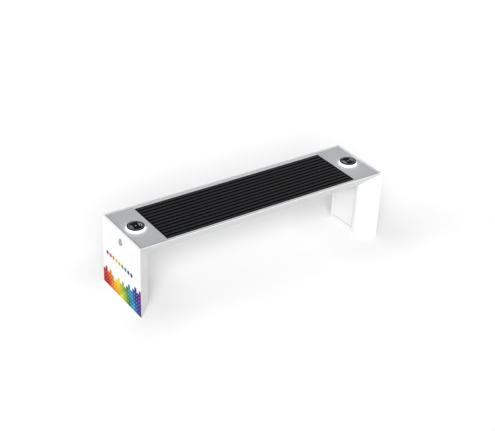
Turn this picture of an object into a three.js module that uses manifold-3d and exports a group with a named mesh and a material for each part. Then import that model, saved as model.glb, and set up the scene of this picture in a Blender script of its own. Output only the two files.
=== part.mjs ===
import * as THREE from "three";
import { mergeVertices } from "three/addons/utils/BufferGeometryUtils.js";
import Module from "manifold-3d";

// Park bench with a solar deck, two wireless charging pucks and two capped sockets.
// Millimetres, Z up, X along the bench, the front faces negative Y.
// The origin lies on the ground below the middle of the bench.

const wasm = await Module();
wasm.setup();

// Overall size and the tapered section shared by the seat and the legs.
const benchLength = 1800;
const benchDepth = 468;
const benchHeight = 484;
const legThickness = 106;
const seatThickness = 113;
const faceInset = 106;
const sheetThickness = 3;
const jointGap = 0.3;
const cutMargin = 2;

// Raised lip round the top, the sunk deck and the ledge that carries it.
const lipWidth = 12;
const deckRecess = 8;
const deckGap = 1;
const deckThickness = 6;
const ledgeWidth = 34;

// Solar panel let into the deck.
const panelEndMargin = 204.5;
const panelSideMargin = 35;
const panelJointWidth = 1.5;
const glassThickness = 4;
const cellThickness = 1;
const backsheetThickness = 1;
const stripCount = 12;
const stripGap = 3;
const stripGroove = 0.5;
const junctionBoxLength = 110;
const junctionBoxDepth = 84;
const junctionBoxHeight = 22;
const junctionBoxSetback = 135.5;
const junctionBoxEdge = 3;

// Cross ribs between the seat floor and the deck.
const ribFlangeWidth = 40;
const ribFootMargin = 8;
const ribShoulderDrop = 26;
const ribWindowHeight = 24;
const ribWindowSill = 6;

// Brackets that bolt each leg to the seat from inside.
const bracketThickness = 4;
const bracketRibGap = 8.5;
const bracketLegArm = 30;
const bracketRelief = 1;

// Foot plates with anchor holes.
const footPlateThickness = 6;
const anchorHoleRadius = 7;
const outerAnchorMargin = 64;
const outerAnchorSetback = 24;
const innerAnchorMargin = 14;
const innerAnchorSetback = 22;

// Service opening, jamb and drop-down door in the inner face of each leg.
const doorRim = 30;
const doorGap = 3;
const jambDepth = 6;
const jambLap = 10;
const jambStart = 18;
const sealWidth = 8.5;
const sealGap = 0.4;
const sealStart = 20;

// Concealed hinge along the bottom edge of the door.
const hingeSetback = 8;
const hingeRise = 12;
const hingeRodRadius = 2.5;
const hingeRodHeadRadius = 4;
const hingeRodHeadLength = 3;
const hingeEyeRadius = 4.5;
const hingeClearance = 0.3;
const hingeEndPlay = 0.5;
const hingeLugThickness = 4;
const hingeLugArmHalf = 2.7;
const hingeLugNeck = 5;
const hingeLugReach = 13;
const hingeKnuckleLength = 13;
const hingeStripHeight = 20;
const hingeStripStart = 8;
const hingeGussetDepth = 3;
const hingeGussetHeight = 24;

// Quarter-turn lock near the top edge of the door.
const lockDrop = 26;
const lockHeadRadius = 12;
const lockHeadThickness = 2;
const lockBarrelRadius = 9;
const lockBarrelLength = 9;
const lockPlugRadius = 5;
const lockPlugStand = 1.5;
const lockSlotLength = 7;
const lockSlotWidth = 1.6;
const lockSlotDepth = 1.2;
const camThickness = 2.5;
const camWidth = 12;
const camReach = 30;
const camGap = 0.4;

// Wireless charging pucks on the end zones of the deck.
const puckCapRadius = 54;
const puckCapThickness = 5;
const puckCapEdge = 1.2;
const puckRingTopRadius = 55;
const puckRingFootRadius = 61;
const puckRingBoreRadius = 46;
const puckRingHeight = 13;
const puckRingFootHeight = 1.5;
const puckBodyRadius = 45.5;
const puckStemRadius = 24;
const puckStemLength = 46;
const puckStemBore = 16;
const puckStemFloor = 5;
const puckCoilPocketRadius = 40;
const puckCoilPocketDepth = 4;
const puckCoilOuterRadius = 38;
const puckCoilInnerRadius = 15;
const puckCoilThickness = 3;
const puckNutAcross = 66;
const puckNutThickness = 8;
const puckHoleClearance = 1;

// Capped sockets in the end faces.
const socketDrop = 75;
const socketFlangeRadius = 19;
const socketFlangeThickness = 3;
const socketBarrelRadius = 14.5;
const socketBarrelLength = 30;
const socketBoreRadius = 12.5;
const socketInsertRadius = 12.2;
const socketInsertFlangeRadius = 13.5;
const socketInsertFlangeThickness = 1;
const socketInsertLength = 32;
const portWidth = 12.5;
const portHeight = 5;
const portDepth = 12;
const portSpacing = 10;
const socketNutAcross = 36;
const socketNutThickness = 5;
const socketHoleClearance = 0.5;
const capRadius = 18;
const capThickness = 2.4;
const capDome = 1.4;
const capDomeSteps = 4;
const capGap = 0.3;
const capPinRise = 20.5;
const capPinOut = 2.6;
const capPinRadius = 1.2;
const capEyeRadius = 2.6;
const capEyeHalfLength = 5;
const capLugThickness = 2.4;
const capPinHalfLength = 8.2;

// Battery, its tray and its strap in the left leg.
const batteryRoom = 38;
const batteryHeight = 166;
const batteryEdge = 3;
const batteryWallGap = 7;
const terminalRadius = 6;
const terminalHeight = 10;
const terminalSetback = 11;
const traySheet = 2;
const trayClearance = 1;
const trayWallHeight = 30;
const strapWidth = 26;
const strapThickness = 1.5;

// Mounting plate with its rail, and the units on it, in the right leg.
const mountPlateThickness = 2;
const mountPlateFootroom = 14;
const mountPlateHeadroom = 31;
const railHeight = 35;
const railDepth = 7.5;
const railLipHeight = 4;
const railLipThickness = 1.5;
const railDrop = 71;
const unitGap = 12;
const controllerRoom = 72;
const controllerFinCount = 9;
const controllerFinDepth = 12;
const controllerFinThickness = 3;
const moduleEdge = 2;
const breakerWidth = 36;
const breakerHeight = 72;
const breakerRoom = 62;
const breakerNoseHeight = 44;
const breakerNoseDepth = 14;
const breakerSlotWidth = 10;
const breakerSlotHeight = 24;
const breakerSlotDepth = 12;
const leverHubRadius = 5.5;
const leverHubWidth = 8;
const leverArmLength = 14;
const leverArmThickness = 4;
const leverTilt = 0.6;
const leverPivotDepth = 6.2;
const leverPinRadius = 1.5;
const leverPinHalfLength = 7;
const leverPinClearance = 0.3;

// Cables.
const powerCableRadius = 5;
const leadRadius = 3;
const cableSides = 8;
const cableBend = 24;
const longCableSteps = 76;
const shortCableSteps = 20;
const batteryCableSetback = 40;
const solarDropSetback = 34;
const moduleDropSetback = 24;
const powerDropSetback = 37;

// Shares of the inner half width, for the pieces that stand or lie between the slanted walls.
const windowShare = 45 / 64;
const bracketShare = 45 / 64;
const hingeStripShare = 75 / 128;
const hingeLugShare = 15 / 32;
const batteryShare = 45 / 64;
const terminalShare = 33 / 64;
const mountPlateShare = 95 / 128;
const railShare = 75 / 128;
const controllerShare = 75 / 128;
const moduleRearShare = 33 / 64;
const moduleFrontShare = 25 / 64;
const powerLaneShare = -5 / 64;
const solarLaneShare = -35 / 64;
const leftLaneShare = 9 / 32;
const rightLaneShare = 7 / 16;

// Height at which a lead forks above its lane, as a share of a cable bend.
const forkRiseShare = 3 / 2;

// Share of the end zone between lip and panel, and shares of the height under the seat.
const puckZoneShare = 0.47;
const controllerHeightShare = 100 / 371;
const moduleHeightShare = 50 / 371;

// Smoothness of round shapes.
const roundSegments = 40;
const smallRoundSegments = 20;
const hexSides = 6;

// Derived places.
const endFaceX = -benchLength / 2;
const innerFaceX = endFaceX + legThickness;
const wallInsideX = endFaceX + sheetThickness;
const deckTop = benchHeight - deckRecess;
const ledgeTop = deckTop - deckThickness;
const seatUnder = benchHeight - seatThickness;
const seatFloor = seatUnder + sheetThickness;
const innerHalfWidth = benchDepth / 2 - faceInset;
const openingHalf = innerHalfWidth - doorRim;
const openingBottom = doorRim;
const openingTop = seatUnder - doorRim;
const panelLength = benchLength - 2 * panelEndMargin;
const panelDepth = benchDepth - 2 * panelSideMargin;
const junctionBoxPlace = panelLength / 2 - junctionBoxSetback;
const puckSetback = lipWidth + puckZoneShare * (panelEndMargin - lipWidth);
const puckPlace = benchLength / 2 - puckSetback;
const ribPlace = panelLength / 2;
const lipInnerLength = benchLength - 2 * lipWidth;
const lipInnerDepth = benchDepth - 2 * lipWidth;
const hingeHeight = openingBottom + hingeRise;
const lockHeight = openingTop - doorGap - lockDrop;
const socketHeight = benchHeight - socketDrop;
const laneHeight = seatFloor + ribWindowSill + jointGap;
const hingeLugPlace = innerHalfWidth * hingeLugShare;
const batteryHalfWidth = innerHalfWidth * batteryShare;
const batteryDepth = legThickness - batteryRoom;
const batteryMiddle = endFaceX + batteryWallGap + batteryDepth / 2;
const railCentre = seatUnder - railDrop;
const moduleTop = railCentre - breakerHeight / 2 - unitGap;
const moduleBottom = moduleTop - seatUnder * moduleHeightShare;
const controllerTop = moduleBottom - unitGap;
const controllerBottom = controllerTop - seatUnder * controllerHeightShare;
const unitDepth = legThickness - controllerRoom;
const breakerDepth = legThickness - breakerRoom;

// Finishes.
const finishes = {
  shell: new THREE.MeshStandardMaterial({ color: 0xf6f6f7, roughness: 0.42, metalness: 0.05 }),
  deck: new THREE.MeshStandardMaterial({ color: 0xb0b2b7, roughness: 0.6, metalness: 0.1 }),
  bareSteel: new THREE.MeshStandardMaterial({ color: 0x9a9da1, roughness: 0.4, metalness: 0.9 }),
  glass: new THREE.MeshStandardMaterial({ color: 0x1b1c1f, roughness: 0.12, metalness: 0 }),
  cells: new THREE.MeshStandardMaterial({ color: 0x25262a, roughness: 0.35, metalness: 0.2 }),
  backsheet: new THREE.MeshStandardMaterial({ color: 0x17181a, roughness: 0.7, metalness: 0 }),
  sealant: new THREE.MeshStandardMaterial({ color: 0x1d1d1e, roughness: 0.85, metalness: 0 }),
  blackPlastic: new THREE.MeshStandardMaterial({ color: 0x141416, roughness: 0.35, metalness: 0 }),
  diffuser: new THREE.MeshStandardMaterial({
    color: 0xffffff,
    roughness: 0.5,
    metalness: 0,
    emissive: 0xfffdf4,
    emissiveIntensity: 1,
  }),
  copper: new THREE.MeshStandardMaterial({ color: 0xb4713c, roughness: 0.4, metalness: 0.8 }),
  socketMetal: new THREE.MeshStandardMaterial({ color: 0xa6a5a1, roughness: 0.3, metalness: 0.9 }),
  batteryCase: new THREE.MeshStandardMaterial({ color: 0x2a3c5c, roughness: 0.5, metalness: 0 }),
  strap: new THREE.MeshStandardMaterial({ color: 0x333436, roughness: 0.9, metalness: 0 }),
  controllerCase: new THREE.MeshStandardMaterial({ color: 0x3a3d42, roughness: 0.5, metalness: 0.6 }),
  moduleCase: new THREE.MeshStandardMaterial({ color: 0x8d9196, roughness: 0.45, metalness: 0.7 }),
  breakerCase: new THREE.MeshStandardMaterial({ color: 0xdcdcd8, roughness: 0.6, metalness: 0 }),
  lever: new THREE.MeshStandardMaterial({ color: 0x2c5fa8, roughness: 0.5, metalness: 0 }),
  cableJacket: new THREE.MeshStandardMaterial({ color: 0x19191a, roughness: 0.7, metalness: 0 }),
};

// Solid modelling helpers.
function solidOf(geometry) {
  const bare = geometry.clone();
  bare.deleteAttribute("normal");
  bare.deleteAttribute("uv");
  const merged = mergeVertices(bare);
  return new wasm.Manifold(
    new wasm.Mesh({
      numProp: 3,
      vertProperties: new Float32Array(merged.attributes.position.array),
      triVerts: new Uint32Array(merged.index.array),
    }),
  );
}

function geometryOf(solid) {
  const mesh = solid.getMesh();
  const geometry = new THREE.BufferGeometry();
  geometry.setAttribute("position", new THREE.BufferAttribute(new Float32Array(mesh.vertProperties), 3));
  geometry.setIndex(new THREE.BufferAttribute(new Uint32Array(mesh.triVerts), 1));
  geometry.computeVertexNormals();
  return geometry;
}

function piece(name, solid, finish) {
  const mesh = new THREE.Mesh(geometryOf(solid), finish);
  mesh.name = name;
  return mesh;
}

function join(solids) {
  return solids.reduce((total, next) => total.add(next));
}

function cutAll(solid, cutters) {
  return cutters.reduce((total, next) => total.subtract(next), solid);
}

function block([lowX, highX], [lowY, highY], [lowZ, highZ]) {
  const geometry = new THREE.BoxGeometry(highX - lowX, highY - lowY, highZ - lowZ);
  geometry.translate((lowX + highX) / 2, (lowY + highY) / 2, (lowZ + highZ) / 2);
  return solidOf(geometry);
}

function centredBlock(lengthX, lengthY, [lowZ, highZ]) {
  return block([-lengthX / 2, lengthX / 2], [-lengthY / 2, lengthY / 2], [lowZ, highZ]);
}

function outline(points) {
  return new THREE.Shape(points.map(([a, b]) => new THREE.Vector2(a, b)));
}

function prism(points, depth) {
  return new THREE.ExtrudeGeometry(outline(points), { depth, bevelEnabled: false, steps: 1 });
}

// Points are [y, z] and the prism runs along X.
function prismAlongX(points, [lowX, highX]) {
  const geometry = prism(points, highX - lowX);
  geometry.applyMatrix4(
    new THREE.Matrix4().makeBasis(
      new THREE.Vector3(0, 1, 0),
      new THREE.Vector3(0, 0, 1),
      new THREE.Vector3(1, 0, 0),
    ),
  );
  geometry.translate(lowX, 0, 0);
  return solidOf(geometry);
}

// Points are [z, x] and the prism runs along Y.
function prismAlongY(points, [lowY, highY]) {
  const geometry = prism(points, highY - lowY);
  geometry.applyMatrix4(
    new THREE.Matrix4().makeBasis(
      new THREE.Vector3(0, 0, 1),
      new THREE.Vector3(1, 0, 0),
      new THREE.Vector3(0, 1, 0),
    ),
  );
  geometry.translate(0, lowY, 0);
  return solidOf(geometry);
}

// Points are [x, y] and the prism runs along Z.
function prismAlongZ(points, [lowZ, highZ]) {
  const geometry = prism(points, highZ - lowZ);
  geometry.translate(0, 0, lowZ);
  return solidOf(geometry);
}

function rodAlongX(radius, [lowX, highX], y, z, segments = roundSegments) {
  const geometry = new THREE.CylinderGeometry(radius, radius, highX - lowX, segments);
  geometry.rotateZ(-Math.PI / 2);
  geometry.translate((lowX + highX) / 2, y, z);
  return solidOf(geometry);
}

function rodAlongY(radius, [lowY, highY], x, z, segments = smallRoundSegments) {
  const geometry = new THREE.CylinderGeometry(radius, radius, highY - lowY, segments);
  geometry.translate(x, (lowY + highY) / 2, z);
  return solidOf(geometry);
}

function rodAlongZ(radius, [lowZ, highZ], x, y, segments = roundSegments) {
  const geometry = new THREE.CylinderGeometry(radius, radius, highZ - lowZ, segments);
  geometry.rotateX(Math.PI / 2);
  geometry.translate(x, y, (lowZ + highZ) / 2);
  return solidOf(geometry);
}

// Points are [radius, z], and the solid stands on the Z axis.
function turned(points, segments = roundSegments) {
  const geometry = new THREE.LatheGeometry(
    points.map(([radius, z]) => new THREE.Vector2(radius, z)),
    segments,
  );
  geometry.rotateX(Math.PI / 2);
  return solidOf(geometry);
}

// Box with its four upright edges and its top edges cut back.
function easedBlock([lowX, highX], [lowY, highY], [lowZ, highZ], edge) {
  const shape = outline([
    [lowX + edge, lowY],
    [highX - edge, lowY],
    [highX, lowY + edge],
    [highX, highY - edge],
    [highX - edge, highY],
    [lowX + edge, highY],
    [lowX, highY - edge],
    [lowX, lowY + edge],
  ]);
  const geometry = new THREE.ExtrudeGeometry(shape, { depth: highZ - lowZ, bevelEnabled: false, steps: 1 });
  geometry.translate(0, 0, lowZ);
  return solidOf(geometry);
}

function mirroredPair(make) {
  return [make(1), make(-1)];
}

// Half width of the tapered section, measured a distance in from its wide face.
function halfWidth(distance, thickness, wall) {
  const slant = Math.hypot(thickness, faceInset) / thickness;
  return benchDepth / 2 - (faceInset * distance) / thickness - wall * slant;
}

function taperedSeat(wall, lowZ, highZ, reach) {
  const low = halfWidth(benchHeight - lowZ, seatThickness, wall);
  const high = halfWidth(benchHeight - highZ, seatThickness, wall);
  const points = [
    [-low, lowZ],
    [low, lowZ],
    [high, highZ],
    [-high, highZ],
  ];
  return prismAlongX(points, [-reach, reach]);
}

function taperedLeg(wall, lowZ, highZ) {
  const outerX = endFaceX + wall;
  const innerX = innerFaceX - wall;
  const wide = halfWidth(wall, legThickness, wall);
  const narrow = halfWidth(legThickness - wall, legThickness, wall);
  const points = [
    [outerX, -wide],
    [innerX, -narrow],
    [innerX, narrow],
    [outerX, wide],
  ];
  return prismAlongZ(points, [lowZ, highZ]);
}

// Side view of the seat between its two mitres, or of a room a distance in from them.
function seatMitre(wall) {
  const inset = (wall * Math.hypot(legThickness, seatThickness)) / seatThickness;
  const points = [
    [seatUnder, innerFaceX + inset],
    [benchHeight, endFaceX + inset],
    [benchHeight, -endFaceX - inset],
    [seatUnder, -innerFaceX - inset],
  ];
  return prismAlongY(points, [-benchDepth, benchDepth]);
}

// Slab inside the lip, with edges that stay a distance in from the slanted walls and the mitres.
function slantedSlab(clearance, wall, level) {
  const lengthX = lipInnerLength - 2 * clearance;
  const lengthY = lipInnerDepth - 2 * clearance;
  return centredBlock(lengthX, lengthY, level)
    .intersect(taperedSeat(wall, seatUnder, benchHeight, benchLength))
    .intersect(seatMitre(wall));
}

// Side view of one leg below its mitre.
function legMitre() {
  const points = [
    [0, endFaceX],
    [benchHeight - jointGap, endFaceX],
    [seatUnder - jointGap, innerFaceX],
    [0, innerFaceX],
  ];
  return prismAlongY(points, [-benchDepth, benchDepth]);
}

// Seat trough with its solid lip and the ledge under the deck.
function seatShell() {
  const outer = taperedSeat(0, seatUnder, benchHeight, benchLength);
  const ledgeUnder = ledgeTop - sheetThickness;
  const hollow = taperedSeat(sheetThickness, seatFloor, ledgeUnder, benchLength + cutMargin);
  const mouth = centredBlock(lipInnerLength, lipInnerDepth, [deckTop, benchHeight + cutMargin]);
  const deckSeat = slantedSlab(0, sheetThickness, [ledgeTop, deckTop + cutMargin]);
  const deckWell = centredBlock(
    lipInnerLength - 2 * ledgeWidth,
    lipInnerDepth - 2 * ledgeWidth,
    [ledgeUnder - cutMargin, benchHeight],
  );
  return cutAll(outer, [hollow, mouth, deckSeat, deckWell]).intersect(seatMitre(0));
}

// Channel-shaped rib, standing on the seat floor and carrying the deck.
function crossRib(place) {
  const half = ribFlangeWidth / 2;
  const webX = place - sheetThickness / 2;
  const shoulder = ledgeTop - ribShoulderDrop;
  const footHalf = innerHalfWidth - ribFootMargin;
  const ledgeHalf = lipInnerDepth / 2 - ledgeWidth - jointGap;
  const front = [
    [-footHalf, seatFloor],
    [footHalf, seatFloor],
    [ledgeHalf, shoulder],
    [ledgeHalf, ledgeTop],
    [-ledgeHalf, ledgeTop],
    [-ledgeHalf, shoulder],
  ];
  const envelope = prismAlongX(front, [place - half, place + half]);
  const inside = [seatFloor + sheetThickness, ledgeTop - sheetThickness];
  const wide = [-benchDepth / 2, benchDepth / 2];
  const left = block([place - half - cutMargin, webX], wide, inside);
  const right = block([webX + sheetThickness, place + half + cutMargin], wide, inside);
  const window = block(
    [webX - cutMargin, webX + sheetThickness + cutMargin],
    [-innerHalfWidth * windowShare, innerHalfWidth * windowShare],
    [seatFloor + ribWindowSill, seatFloor + ribWindowSill + ribWindowHeight],
  );
  return cutAll(envelope, [left, right, window]);
}

// Leg box with the service opening, its jamb and the socket hole.
function legShell() {
  const outer = taperedLeg(0, 0, benchHeight);
  const hollow = taperedLeg(sheetThickness, -cutMargin, benchHeight + cutMargin);
  const opening = block(
    [innerFaceX - sheetThickness - cutMargin, innerFaceX + cutMargin],
    [-openingHalf, openingHalf],
    [openingBottom, openingTop],
  );
  const socketHole = rodAlongX(
    socketBarrelRadius + socketHoleClearance,
    [endFaceX - cutMargin, wallInsideX + cutMargin],
    0,
    socketHeight,
  );
  const shell = outer.subtract(hollow).intersect(legMitre()).add(doorJamb());
  return cutAll(shell, [opening, socketHole]);
}

// Folded return behind the opening that stops the door at its sides and top.
function doorJamb() {
  const behind = innerFaceX - sheetThickness;
  const back = behind - jambDepth;
  const flangeFront = back + sheetThickness;
  const frame = block(
    [back, behind + sheetThickness / 2],
    [-openingHalf - sheetThickness, openingHalf + sheetThickness],
    [openingBottom, openingTop + sheetThickness],
  );
  const pocket = block(
    [flangeFront, innerFaceX],
    [-openingHalf, openingHalf],
    [openingBottom - cutMargin, openingTop],
  );
  const sight = block(
    [back - cutMargin, innerFaceX],
    [-openingHalf + jambLap, openingHalf - jambLap],
    [openingBottom - cutMargin, openingTop - jambLap],
  );
  const hingeRoom = block(
    [back - cutMargin, innerFaceX],
    [-openingHalf, openingHalf],
    [openingBottom - cutMargin, openingBottom + jambStart],
  );
  return cutAll(frame, [pocket, sight, hingeRoom]);
}

// Foot plate inside the bottom of the leg, with four anchor holes.
function footPlate() {
  const wall = sheetThickness + jointGap;
  const plate = taperedLeg(wall, 0, footPlateThickness);
  const reach = [-cutMargin, footPlateThickness + cutMargin];
  const outerRow = mirroredPair((side) =>
    rodAlongZ(
      anchorHoleRadius,
      reach,
      endFaceX + outerAnchorSetback,
      side * (benchDepth / 2 - outerAnchorMargin),
      smallRoundSegments,
    ),
  );
  const innerRow = mirroredPair((side) =>
    rodAlongZ(
      anchorHoleRadius,
      reach,
      innerFaceX - innerAnchorSetback,
      side * (innerHalfWidth - innerAnchorMargin),
      smallRoundSegments,
    ),
  );
  return cutAll(plate, [...outerRow, ...innerRow]);
}

// Angle that laps the seat floor and the inner wall of the leg.
function cornerBracket() {
  const wallX = innerFaceX - sheetThickness;
  const backX = wallX - bracketThickness;
  const top = seatFloor + bracketThickness;
  const low = seatFloor - bracketLegArm + bracketThickness;
  const armEnd = -ribPlace - ribFlangeWidth / 2 - bracketRibGap;
  const halfWide = innerHalfWidth * bracketShare;
  const points = [
    [low, wallX],
    [low, backX],
    [top, backX],
    [top, armEnd],
    [seatFloor, armEnd],
    [seatFloor, wallX + 2 * bracketRelief],
    [seatFloor + bracketRelief, wallX + 2 * bracketRelief],
    [seatFloor + bracketRelief, wallX],
  ];
  return prismAlongY(points, [-halfWide, halfWide]);
}

// Door panel with two hinge eyes on its inner face.
function doorPanel() {
  const half = openingHalf - doorGap;
  const inside = innerFaceX - sheetThickness;
  const pinX = innerFaceX - hingeSetback;
  const panel = block([inside, innerFaceX], [-half, half], [openingBottom + doorGap, openingTop - doorGap]);
  const lockHole = rodAlongX(
    lockBarrelRadius + jointGap,
    [inside - cutMargin, innerFaceX + cutMargin],
    0,
    lockHeight,
    smallRoundSegments,
  );
  const start = hingeLugPlace - hingeLugThickness / 2 - hingeEndPlay;
  const eyes = mirroredPair((side) => {
    const span = orderedSpan(side * start, side * (start - hingeKnuckleLength));
    const eye = rodAlongY(hingeEyeRadius, span, pinX, hingeHeight);
    const web = block([pinX, inside + sheetThickness / 2], span, [hingeHeight, hingeHeight + hingeEyeRadius]);
    const gusset = block(
      [inside - hingeGussetDepth, inside + sheetThickness / 2],
      span,
      [hingeHeight, hingeHeight + hingeGussetHeight],
    );
    return join([eye, web, gusset]);
  });
  const reach = [-benchDepth / 2, benchDepth / 2];
  const bore = rodAlongY(hingeRodRadius + hingeClearance, reach, pinX, hingeHeight);
  return cutAll(join([panel, ...eyes]), [lockHole, bore]);
}

function orderedSpan(first, second) {
  return [Math.min(first, second), Math.max(first, second)];
}

// Strip on the leg wall with two goose-neck lugs that hold the hinge rod.
function hingeBracket() {
  const wallX = innerFaceX - sheetThickness;
  const pinX = innerFaceX - hingeSetback;
  const neckInner = pinX - hingeLugReach;
  const neckOuter = neckInner - hingeLugNeck;
  const stripLow = hingeStripStart;
  const stripHigh = hingeStripStart + hingeStripHeight;
  const strip = block(
    [wallX - sheetThickness, wallX],
    [-innerHalfWidth * hingeStripShare, innerHalfWidth * hingeStripShare],
    [stripLow, stripHigh],
  );
  const lugs = mirroredPair((side) => {
    const middle = side * hingeLugPlace;
    const span = [middle - hingeLugThickness / 2, middle + hingeLugThickness / 2];
    const foot = block([neckOuter, wallX - sheetThickness / 2], span, [stripLow, stripLow + hingeLugNeck]);
    const neck = block([neckOuter, neckInner], span, [stripLow, hingeHeight + hingeLugArmHalf]);
    const armLevel = [hingeHeight - hingeLugArmHalf, hingeHeight + hingeLugArmHalf];
    const arm = block([neckOuter, pinX], span, armLevel);
    const eye = rodAlongY(hingeEyeRadius, span, pinX, hingeHeight);
    return join([foot, neck, arm, eye]);
  });
  const reach = [-benchDepth / 2, benchDepth / 2];
  const bore = rodAlongY(hingeRodRadius + hingeClearance, reach, pinX, hingeHeight);
  return join([strip, ...lugs]).subtract(bore);
}

function hingeRod() {
  const pinX = innerFaceX - hingeSetback;
  const end = hingeLugPlace + hingeLugThickness / 2 + hingeEndPlay;
  const stem = rodAlongY(hingeRodRadius, [-end, end], pinX, hingeHeight);
  const heads = mirroredPair((side) => {
    const span = orderedSpan(side * end, side * (end + hingeRodHeadLength));
    return rodAlongY(hingeRodHeadRadius, span, pinX, hingeHeight);
  });
  return join([stem, ...heads]);
}

// Foam strip on the jamb, round the sides and top of the door.
function doorSeal() {
  const back = innerFaceX - jambDepth;
  const front = innerFaceX - sheetThickness - sealGap;
  const outerHalf = openingHalf - sealGap;
  const top = openingTop - sealGap;
  const start = openingBottom + sealStart;
  const ring = block([back, front], [-outerHalf, outerHalf], [start, top]);
  const sight = block(
    [back - cutMargin, front + cutMargin],
    [-outerHalf + sealWidth, outerHalf - sealWidth],
    [start - cutMargin, top - sealWidth],
  );
  return ring.subtract(sight);
}

function lockBarrel() {
  const head = rodAlongX(lockHeadRadius, [innerFaceX, innerFaceX + lockHeadThickness], 0, lockHeight);
  const barrel = rodAlongX(
    lockBarrelRadius,
    [innerFaceX - lockBarrelLength, innerFaceX + lockHeadThickness / 2],
    0,
    lockHeight,
    smallRoundSegments,
  );
  const bore = rodAlongX(
    lockPlugRadius + hingeClearance,
    [innerFaceX - lockBarrelLength - cutMargin, innerFaceX + lockHeadThickness + cutMargin],
    0,
    lockHeight,
    smallRoundSegments,
  );
  return join([head, barrel]).subtract(bore);
}

// Key plug with its cam, drawn with the cam turned clear of the jamb.
function lockPlug() {
  const camFront = innerFaceX - lockBarrelLength - camGap;
  const camBack = camFront - camThickness;
  const face = innerFaceX + lockPlugStand;
  const plug = rodAlongX(lockPlugRadius, [camBack, face], 0, lockHeight, smallRoundSegments);
  const halfCam = camWidth / 2;
  const cam = block([camBack, camFront], [-halfCam, camReach], [lockHeight - halfCam, lockHeight + halfCam]);
  const slot = block(
    [face - lockSlotDepth, face + cutMargin],
    [-lockSlotWidth / 2, lockSlotWidth / 2],
    [lockHeight - lockSlotLength / 2, lockHeight + lockSlotLength / 2],
  );
  return join([plug, cam]).subtract(slot);
}

// Deck plate round the panel, with a hole for the stem of each puck.
function deckPlate() {
  const level = [ledgeTop, deckTop];
  const through = [ledgeTop - cutMargin, deckTop + cutMargin];
  const plate = slantedSlab(deckGap, sheetThickness + deckGap, level);
  const window = centredBlock(panelLength + 2 * panelJointWidth, panelDepth + 2 * panelJointWidth, through);
  const holes = mirroredPair((side) =>
    rodAlongZ(puckStemRadius + puckHoleClearance, through, side * puckPlace, 0),
  );
  return cutAll(plate, [window, ...holes]);
}

function panelSeal() {
  const outerLength = panelLength + 2 * panelJointWidth - 2 * jointGap;
  const outerDepth = panelDepth + 2 * panelJointWidth - 2 * jointGap;
  const ring = centredBlock(outerLength, outerDepth, [ledgeTop, deckTop - jointGap]);
  const inner = centredBlock(
    panelLength + 2 * jointGap,
    panelDepth + 2 * jointGap,
    [ledgeTop - cutMargin, deckTop + cutMargin],
  );
  return ring.subtract(inner);
}

// Twelve long cell strips on one carrier, parted by shallow grooves.
function cellSheet() {
  const low = ledgeTop + backsheetThickness;
  const high = low + cellThickness;
  const sheet = centredBlock(panelLength, panelDepth, [low, high]);
  const pitch = panelDepth / stripCount;
  const grooves = Array.from({ length: stripCount - 1 }, (_, index) => {
    const middle = -panelDepth / 2 + pitch * (index + 1);
    return block(
      [-panelLength, panelLength],
      [middle - stripGap / 2, middle + stripGap / 2],
      [high - stripGroove, high + cutMargin],
    );
  });
  return cutAll(sheet, grooves);
}

function panelGlass() {
  return centredBlock(panelLength, panelDepth, [deckTop - glassThickness, deckTop]);
}

function panelBacksheet() {
  return centredBlock(panelLength, panelDepth, [ledgeTop, ledgeTop + backsheetThickness]);
}

function junctionBox() {
  const halfLength = junctionBoxLength / 2;
  const halfDepth = junctionBoxDepth / 2;
  return easedBlock(
    [junctionBoxPlace - halfLength, junctionBoxPlace + halfLength],
    [-halfDepth, halfDepth],
    [ledgeTop - junctionBoxHeight, ledgeTop],
    junctionBoxEdge,
  );
}

// Puck pieces, drawn round the Z axis with the deck surface at zero.
function puckCap() {
  const low = puckRingHeight;
  const high = low + puckCapThickness;
  return turned([
    [0, low],
    [puckCapRadius, low],
    [puckCapRadius, high - puckCapEdge],
    [puckCapRadius - puckCapEdge, high],
    [0, high],
  ]);
}

function puckRing() {
  return turned([
    [puckRingBoreRadius, 0],
    [puckRingFootRadius, 0],
    [puckRingFootRadius, puckRingFootHeight],
    [puckRingTopRadius, puckRingHeight],
    [puckRingBoreRadius, puckRingHeight],
    [puckRingBoreRadius, 0],
  ]);
}

function puckBody() {
  const pocketFloor = puckRingHeight - puckCoilPocketDepth;
  const boreTop = -puckStemFloor;
  const body = turned([
    [0, -puckStemLength],
    [puckStemRadius, -puckStemLength],
    [puckStemRadius, 0],
    [puckBodyRadius, 0],
    [puckBodyRadius, puckRingHeight],
    [puckCoilPocketRadius, puckRingHeight],
    [puckCoilPocketRadius, pocketFloor],
    [0, pocketFloor],
  ]);
  const bore = rodAlongZ(puckStemBore, [-puckStemLength - cutMargin, boreTop], 0, 0, smallRoundSegments);
  return body.subtract(bore);
}

function puckCoil() {
  const low = puckRingHeight - puckCoilPocketDepth;
  const high = low + puckCoilThickness;
  return turned([
    [puckCoilInnerRadius, low],
    [puckCoilOuterRadius, low],
    [puckCoilOuterRadius, high],
    [puckCoilInnerRadius, high],
    [puckCoilInnerRadius, low],
  ]);
}

// Six-sided nut with a round hole, on the Z axis.
function hexNut(across, holeRadius, [lowZ, highZ]) {
  const cornerRadius = across / 2 / Math.cos(Math.PI / hexSides);
  const body = rodAlongZ(cornerRadius, [lowZ, highZ], 0, 0, hexSides);
  return body.subtract(rodAlongZ(holeRadius, [lowZ - cutMargin, highZ + cutMargin], 0, 0));
}

function puckNut() {
  return hexNut(
    puckNutAcross,
    puckStemRadius + jointGap,
    [-deckThickness - puckNutThickness, -deckThickness],
  );
}

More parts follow.
